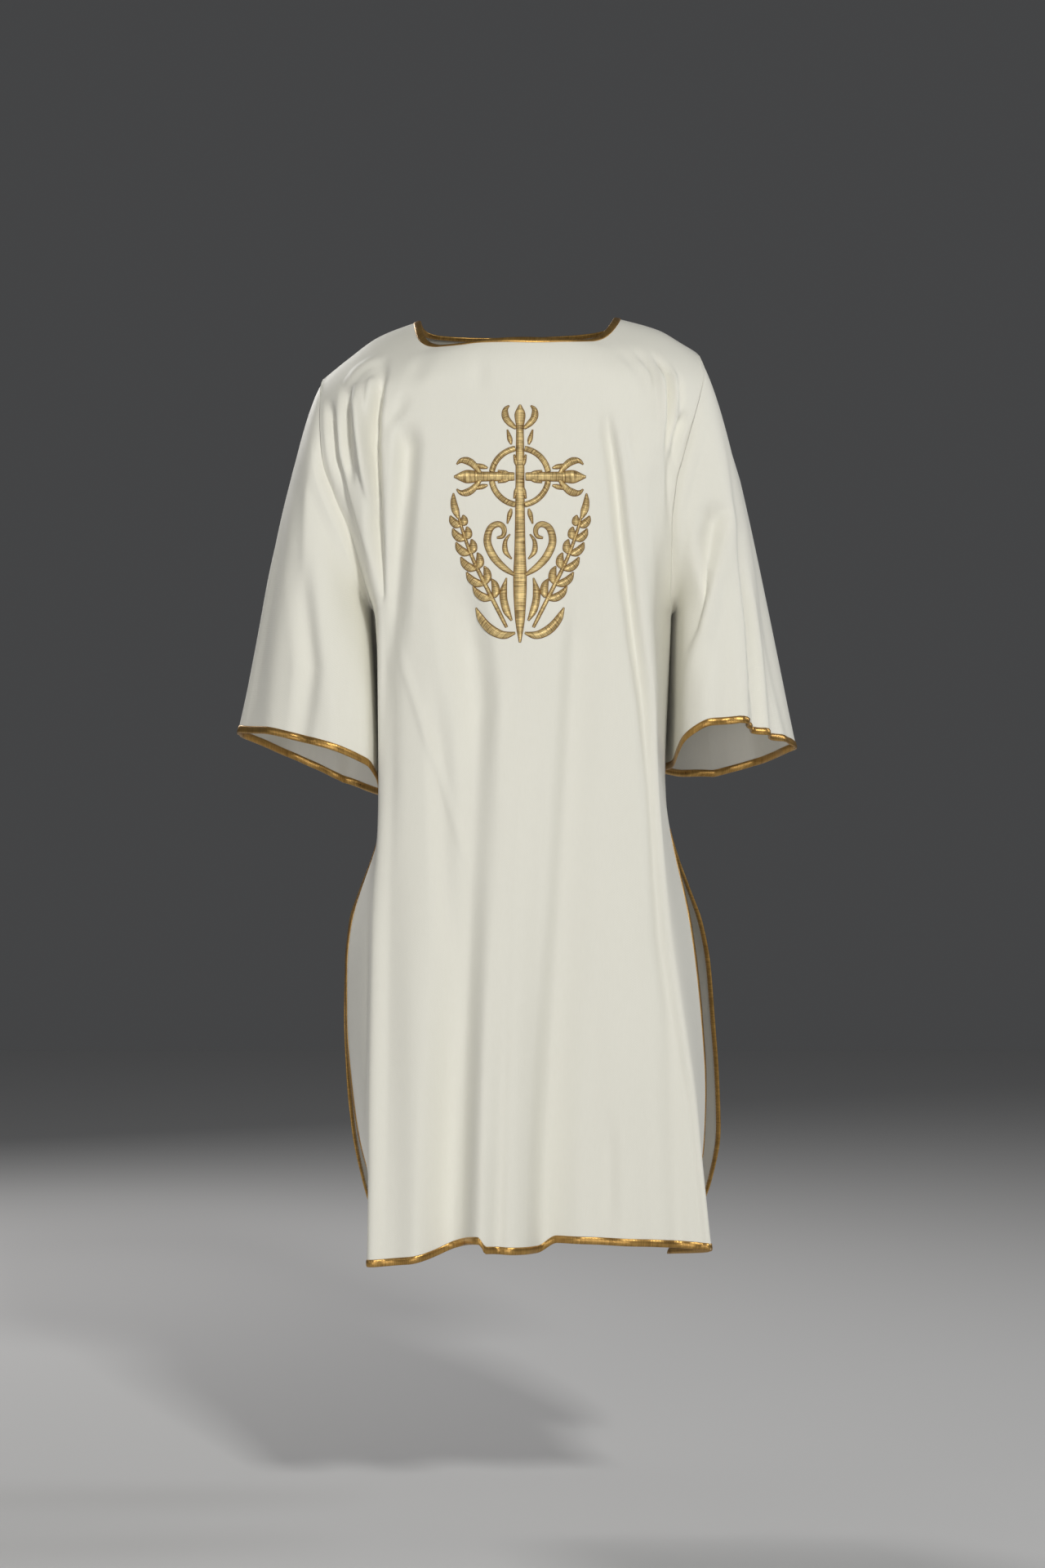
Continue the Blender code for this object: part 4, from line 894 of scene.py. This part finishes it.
def bindEdge(name, node, lines, outs, closed=False):
    # lines run inward from the edge, one for each station along it.
    if not closed:
        lines, outs = thinned(lines, outs, binding["stationGap"])
    at = {
        "edge": (lines[0], outs[0]), "middle": inset(lines, outs, binding["width"] * 0.5),
        "inside": inset(lines, outs, binding["width"]),
    }
    inward = unit(at["inside"][0] - at["edge"][0])
    rise = cloth["wall"] / 2 + binding["gap"]
    profile, away = [], []
    for face, sign in ((bindingFace, 1), (bindingFace[::-1], -1)):
        for line, step, over, share in face:
            spots, out = at[line]
            profile.append(spots + inward * step + sign * out * (rise * share + over))
            away.append(sign * out)
        if sign == 1:
            profile.append(lines[0] - inward * binding["fold"])
            away.append(-inward)
    profile, away = np.array(profile), np.array(away)
    piece = gridPiece(name, profile, away, binding["thick"], goldSatin, closed, None, -1.0)
    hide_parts(node)
    spots, facing = inset(lines, outs, binding["width"] - binding["stitchInset"])
    over = rise + 0.0005
    runs = [(spots + facing * over, facing), (spots - facing * over, -facing)]
    return [piece, stitchRun(name + "Stitches", runs, closed)]


def panelTrim(side, grid, out):
    # The bindings and stitches on one panel: neck, hem and the two slit edges.
    rows, hemRows = binding["rows"], binding["hemRows"]
    slit = slice(slitRow + 1, -1)
    trim = bindEdge(side + "NeckBinding", side + "_neck_binding", grid[:rows], out[:rows])
    hem, hemOut = grid[::-1][:hemRows], out[::-1][:hemRows]
    trim += bindEdge(side + "HemBinding", side + "_hem_binding", hem, hemOut)
    for edge, step in (("Left", 1), ("Right", -1)):
        lines, outs = (a[slit, ::step][:, :binding["slitColumns"]].swapaxes(0, 1) for a in (grid, out))
        node = side + "_" + edge.lower() + "_slit_binding"
        trim += bindEdge(side + edge + "SlitBinding", node, lines, outs)
    return trim


frontTrim = panelTrim("front", front, frontOut)
backTrim = panelTrim("back", back, backOut)
for side in ("left", "right"):
    _, grid, out = sleeves[side]
    cuffRows = binding["cuffRows"]
    bindEdge(
        side + "CuffBinding", side + "_cuff_binding", grid[::-1][:cuffRows], out[::-1][:cuffRows], True)
print("stage: bindings made")

# The chest embroidery lies on the front panel's outer face.
outerFace = front + frontOut * cloth["wall"] / 2
faceRows, faceColumns = outerFace.shape[:2]
corners = [i * faceColumns + j for i in range(faceRows - 1) for j in range(faceColumns - 1)]
chestTree = BVHTree.FromPolygons(
    [Vector(p) for p in outerFace.reshape(-1, 3)],
    [(c, c + 1, c + faceColumns + 1, c + faceColumns) for c in corners])


def onChest(x, height):
    spot, normal, _, _ = chestTree.ray_cast(Vector((x, -1.0, height)), Vector((0, 1, 0)))
    return np.array(spot), np.array(normal) * (-1 if normal.y > 0 else 1)


# The embroidery's middle line and the height of its arms, in millimetres, as all the strokes are.
stemX = 2
armHeight = -205
# Satin-stitched strokes. Columns: name, then points of x, height, width.
strokes = [
    ("stem", [(2, -119, 2), (2, -131, 12), (2, -147, 8), (2, -178, 9), (2, -232, 10), (2, -290, 12),
              (2, -330, 15), (2, -372, 11), (2, -402, 2)]),
    ("leftArm", [(-5, -205, 9), (-22, -205, 10), (-44, -205, 11), (-60, -205, 15), (-76, -205, 2)]),
    ("rightArm", [(9, -205, 9), (26, -205, 10), (48, -205, 11), (64, -205, 15), (80, -205, 2)]),
]
# The strokes of one half, with x from the stem, which the other half repeats.
halfStrokes = [
    ("UpperLobe", [(47, -201, 3), (53, -193, 6.5), (62, -186, 8), (70, -185, 5), (75, -190, 1)]),
    ("LowerLobe", [(47, -209, 3), (53, -217, 6.5), (62, -224, 8), (70, -225, 5), (75, -220, 1)]),
    ("TopLobe", [(5, -147, 3), (12, -141, 6.5), (18, -132, 7.5), (18, -124, 5), (13, -120, 1)]),
    ("Curl", [(7, -322, 3), (20, -313, 7), (33, -298, 8.5), (39, -281, 8), (35, -266, 7),
              (25, -261, 6), (18, -268, 5), (20, -277, 4), (27, -278, 2)]),
    ("CurlLeaf", [(10, -303, 1), (18, -293, 5.5), (18, -283, 4), (12, -274, 1)]),
    ("Foot", [(6, -391, 2), (18, -394, 8), (33, -388, 10), (46, -374, 8), (52, -361, 1)]),
    ("BaseLeaf", [(10, -376, 2), (17, -362, 8), (20, -345, 8), (16, -326, 1)]),
    ("Stalk", [(16, -384, 3), (28, -360, 4), (41, -334, 4), (55, -305, 3.5), (66, -276, 3),
               (73, -252, 2)]),
    ("Tip", [(73, -254, 3), (77, -244, 8), (79, -234, 6), (79, -225, 1)]),
]
# The ears of grain: where each pair of leaves leaves its stalk, from the lowest up. Columns: x, height.
earPlaces = [(31, -351), (41, -334), (50, -316), (58, -298), (64, -281), (69, -265)]
for k, (x, height) in enumerate(earPlaces):
    heading = math.radians(58 + 2.4 * k)
    for label, lean, size in (("Outer", -1, 29 - 2 * k), ("Inner", 1, 24 - 2 * k)):
        # Columns: distance from the stalk, angle to it, width.
        leaf = [(2.5, 0.9, 3), (0.40 * size, 0.85, 9), (0.72 * size, 0.66, 7.5), (size, 0.45, 1)]
        halfStrokes.append(("%sLeaf%d" % (label, k), [
            (x + r * math.cos(heading + lean * a), height + r * math.sin(heading + lean * a), wide)
            for r, a, wide in leaf]))
for name, line in halfStrokes:
    for side, turn in (("right", 1), ("left", -1)):
        strokes.append((side + name, [(stemX + turn * x, height, wide) for x, height, wide in line]))


def roundCross(name, points):
    # points are turned about the crossing. Columns: radius, angle, width.
    strokes.append((name, [(stemX + r * math.cos(a), armHeight + r * math.sin(a), wide)
                           for r, a, wide in points]))


for k in range(4):
    roundCross("ring%d" % k, [(34, a, 6) for a in np.radians(np.linspace(90 * k + 10, 90 * k + 80, 9))])
# Short and long rays stand between the arms. Columns: radius, width.
rays = {"ray": [(12, 1), (18, 4), (27, 1.2)], "longRay": [(40, 1.2), (46, 5), (58, 1)]}
for k in range(12):
    if k % 3 != 1:
        for label, ray in rays.items():
            roundCross(label + str(k), [(r, math.radians(30 * k + 15), wide) for r, wide in ray])


def strokeCord(name, grid, outs):
    # The dark cord round a satin column.
    left = grid[:, 0] + outs[:, 0] * gold["cordLift"]
    right = grid[:, -1] + outs[:, -1] * gold["cordLift"]
    loop = np.concatenate([left, right[::-1]])
    loopOut = np.concatenate([outs[:, 0], outs[::-1, -1]])
    aside = unit(np.cross(unit(np.roll(loop, -1, axis=0) - np.roll(loop, 1, axis=0)), loopOut))
    tube = []
    for turn in 2 * math.pi * np.arange(gold["cordSides"] + 1) / gold["cordSides"]:
        tube.append(loop + gold["cord"] / 2 * (math.cos(turn) * aside + math.sin(turn) * loopOut))
    tube = np.array(tube)
    return gridPiece(name + "Cord", tube, tube - loop, 0, darkThread, True)


def strokePiece(name, line):
    # A domed satin column and its cord.
    line = np.array(line, float) / 1000
    along = runLength(line[:, :2])
    at = np.linspace(0, along[-1], max(8, int(along[-1] / gold["stationGap"])))
    x, height, width = (curve(at, along, line[:, c]) for c in range(3))
    for values in (x, height):
        for _ in range(6):
            values[1:-1] = 0.5 * values[1:-1] + 0.25 * (values[:-2] + values[2:])
    dx, dz = np.gradient(x), np.gradient(height)
    size = np.maximum(np.hypot(dx, dz), 1e-9)
    ax, az = -dz / size, dx / size
    parts = [-0.5, -0.44, -0.28, -0.1, 0.1, 0.28, 0.44, 0.5]
    grid = np.zeros((len(at), len(parts), 3))
    outs = np.zeros((len(at), len(parts), 3))
    for i in range(len(at)):
        lift = gold["lift"] * min(1, width[i] / gold["fullWidth"]) + gold["dome"]
        for k, part in enumerate(parts):
            base, normal = onChest(x[i] + ax[i] * width[i] * part, height[i] + az[i] * width[i] * part)
            dome = math.sqrt(max(0, 1 - (part / 0.5) ** 2))
            grid[i, k] = base + normal * (gold["rim"] + lift * dome)
            outs[i, k] = normal
    column = gridPiece(name + "Satin", grid.swapaxes(0, 1), outs.swapaxes(0, 1), 0, goldThread)
    return [column, strokeCord(name, grid, outs)]


goldPieces = []
for name, line in strokes:
    goldPieces += strokePiece(name, line)
bpy.ops.object.select_all(action="DESELECT")
for piece in goldPieces:
    piece.select_set(True)
bpy.context.view_layer.objects.active = goldPieces[0]
bpy.ops.object.join()
emblem = bpy.context.object
emblem.name = "chestEmbroidery"
emblem.data.name = "chestEmbroidery"
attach(emblem, "root")
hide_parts("emblem_stem", "emblem_left_arm", "emblem_right_arm", "emblem_left_leaf",
            "emblem_right_leaf")
print("stage: embroidery made")

# The stage: a pale floor and soft studio light.
bpy.ops.object.select_all(action="DESELECT")
bpy.ops.mesh.primitive_plane_add(size=16, location=(0, 0, -1.46))
floor = bpy.context.object
floor.name = "floor"
paper = bpy.data.materials.new("palePaper")
paper.use_nodes = True
paperShader = paper.node_tree.nodes["Principled BSDF"]
paperShader.inputs["Base Color"].default_value = (0.62, 0.62, 0.63, 1)
paperShader.inputs["Roughness"].default_value = 0.9
floor.data.materials.append(paper)
world = bpy.data.worlds.new("studio")
bpy.context.scene.world = world
world.use_nodes = True
sky = world.node_tree.nodes["Background"]
sky.inputs["Color"].default_value = (0.72, 0.73, 0.75, 1)
sky.inputs["Strength"].default_value = 0.08

# Columns: name, place, what it points at, size, strength, colour.
lights = [
    ("keyLight", (1.6, -5.6, 2.7), (0, 0, -0.6), 0.7, 214, (1.0, 0.995, 0.95)),
    ("lowLight", (-0.7, -3.4, -1.1), (0, 0, -1.15), 1.2, 22, (1.0, 0.985, 0.96)),
    ("sideLight", (-3.0, -2.2, 0.2), (-0.1, 0, -0.4), 1.2, 9, (1.0, 0.985, 0.96)),
    ("rimLight", (3.0, 0.3, 0.7), (0.15, 0, -0.45), 0.8, 22, (0.97, 0.98, 1.0)),
    ("backLight", (-1.8, 2.9, 1.2), (0, 0, -0.55), 1.0, 60, (1.0, 0.98, 0.95)),
]
for name, place, aim, size, strength, colour in lights:
    lamp = bpy.data.lights.new(name, "AREA")
    lamp.energy = strength
    lamp.size = size
    lamp.color = colour
    holder = bpy.data.objects.new(name, lamp)
    bpy.context.scene.collection.objects.link(holder)
    holder.location = place
    holder.rotation_euler = (Vector(aim) - Vector(place)).to_track_quat("-Z", "Y").to_euler()

lens = bpy.data.cameras.new("camera")
lens.lens = 86.25
lens.sensor_width = 36
camera = bpy.data.objects.new("camera", lens)
bpy.context.scene.collection.objects.link(camera)
camera.location = (0.005, -4.6, -0.57)
camera.rotation_euler = (math.radians(90), 0, 0)
bpy.context.scene.camera = camera
bpy.context.scene.view_settings.view_transform = "Standard"

print("stage: finished")
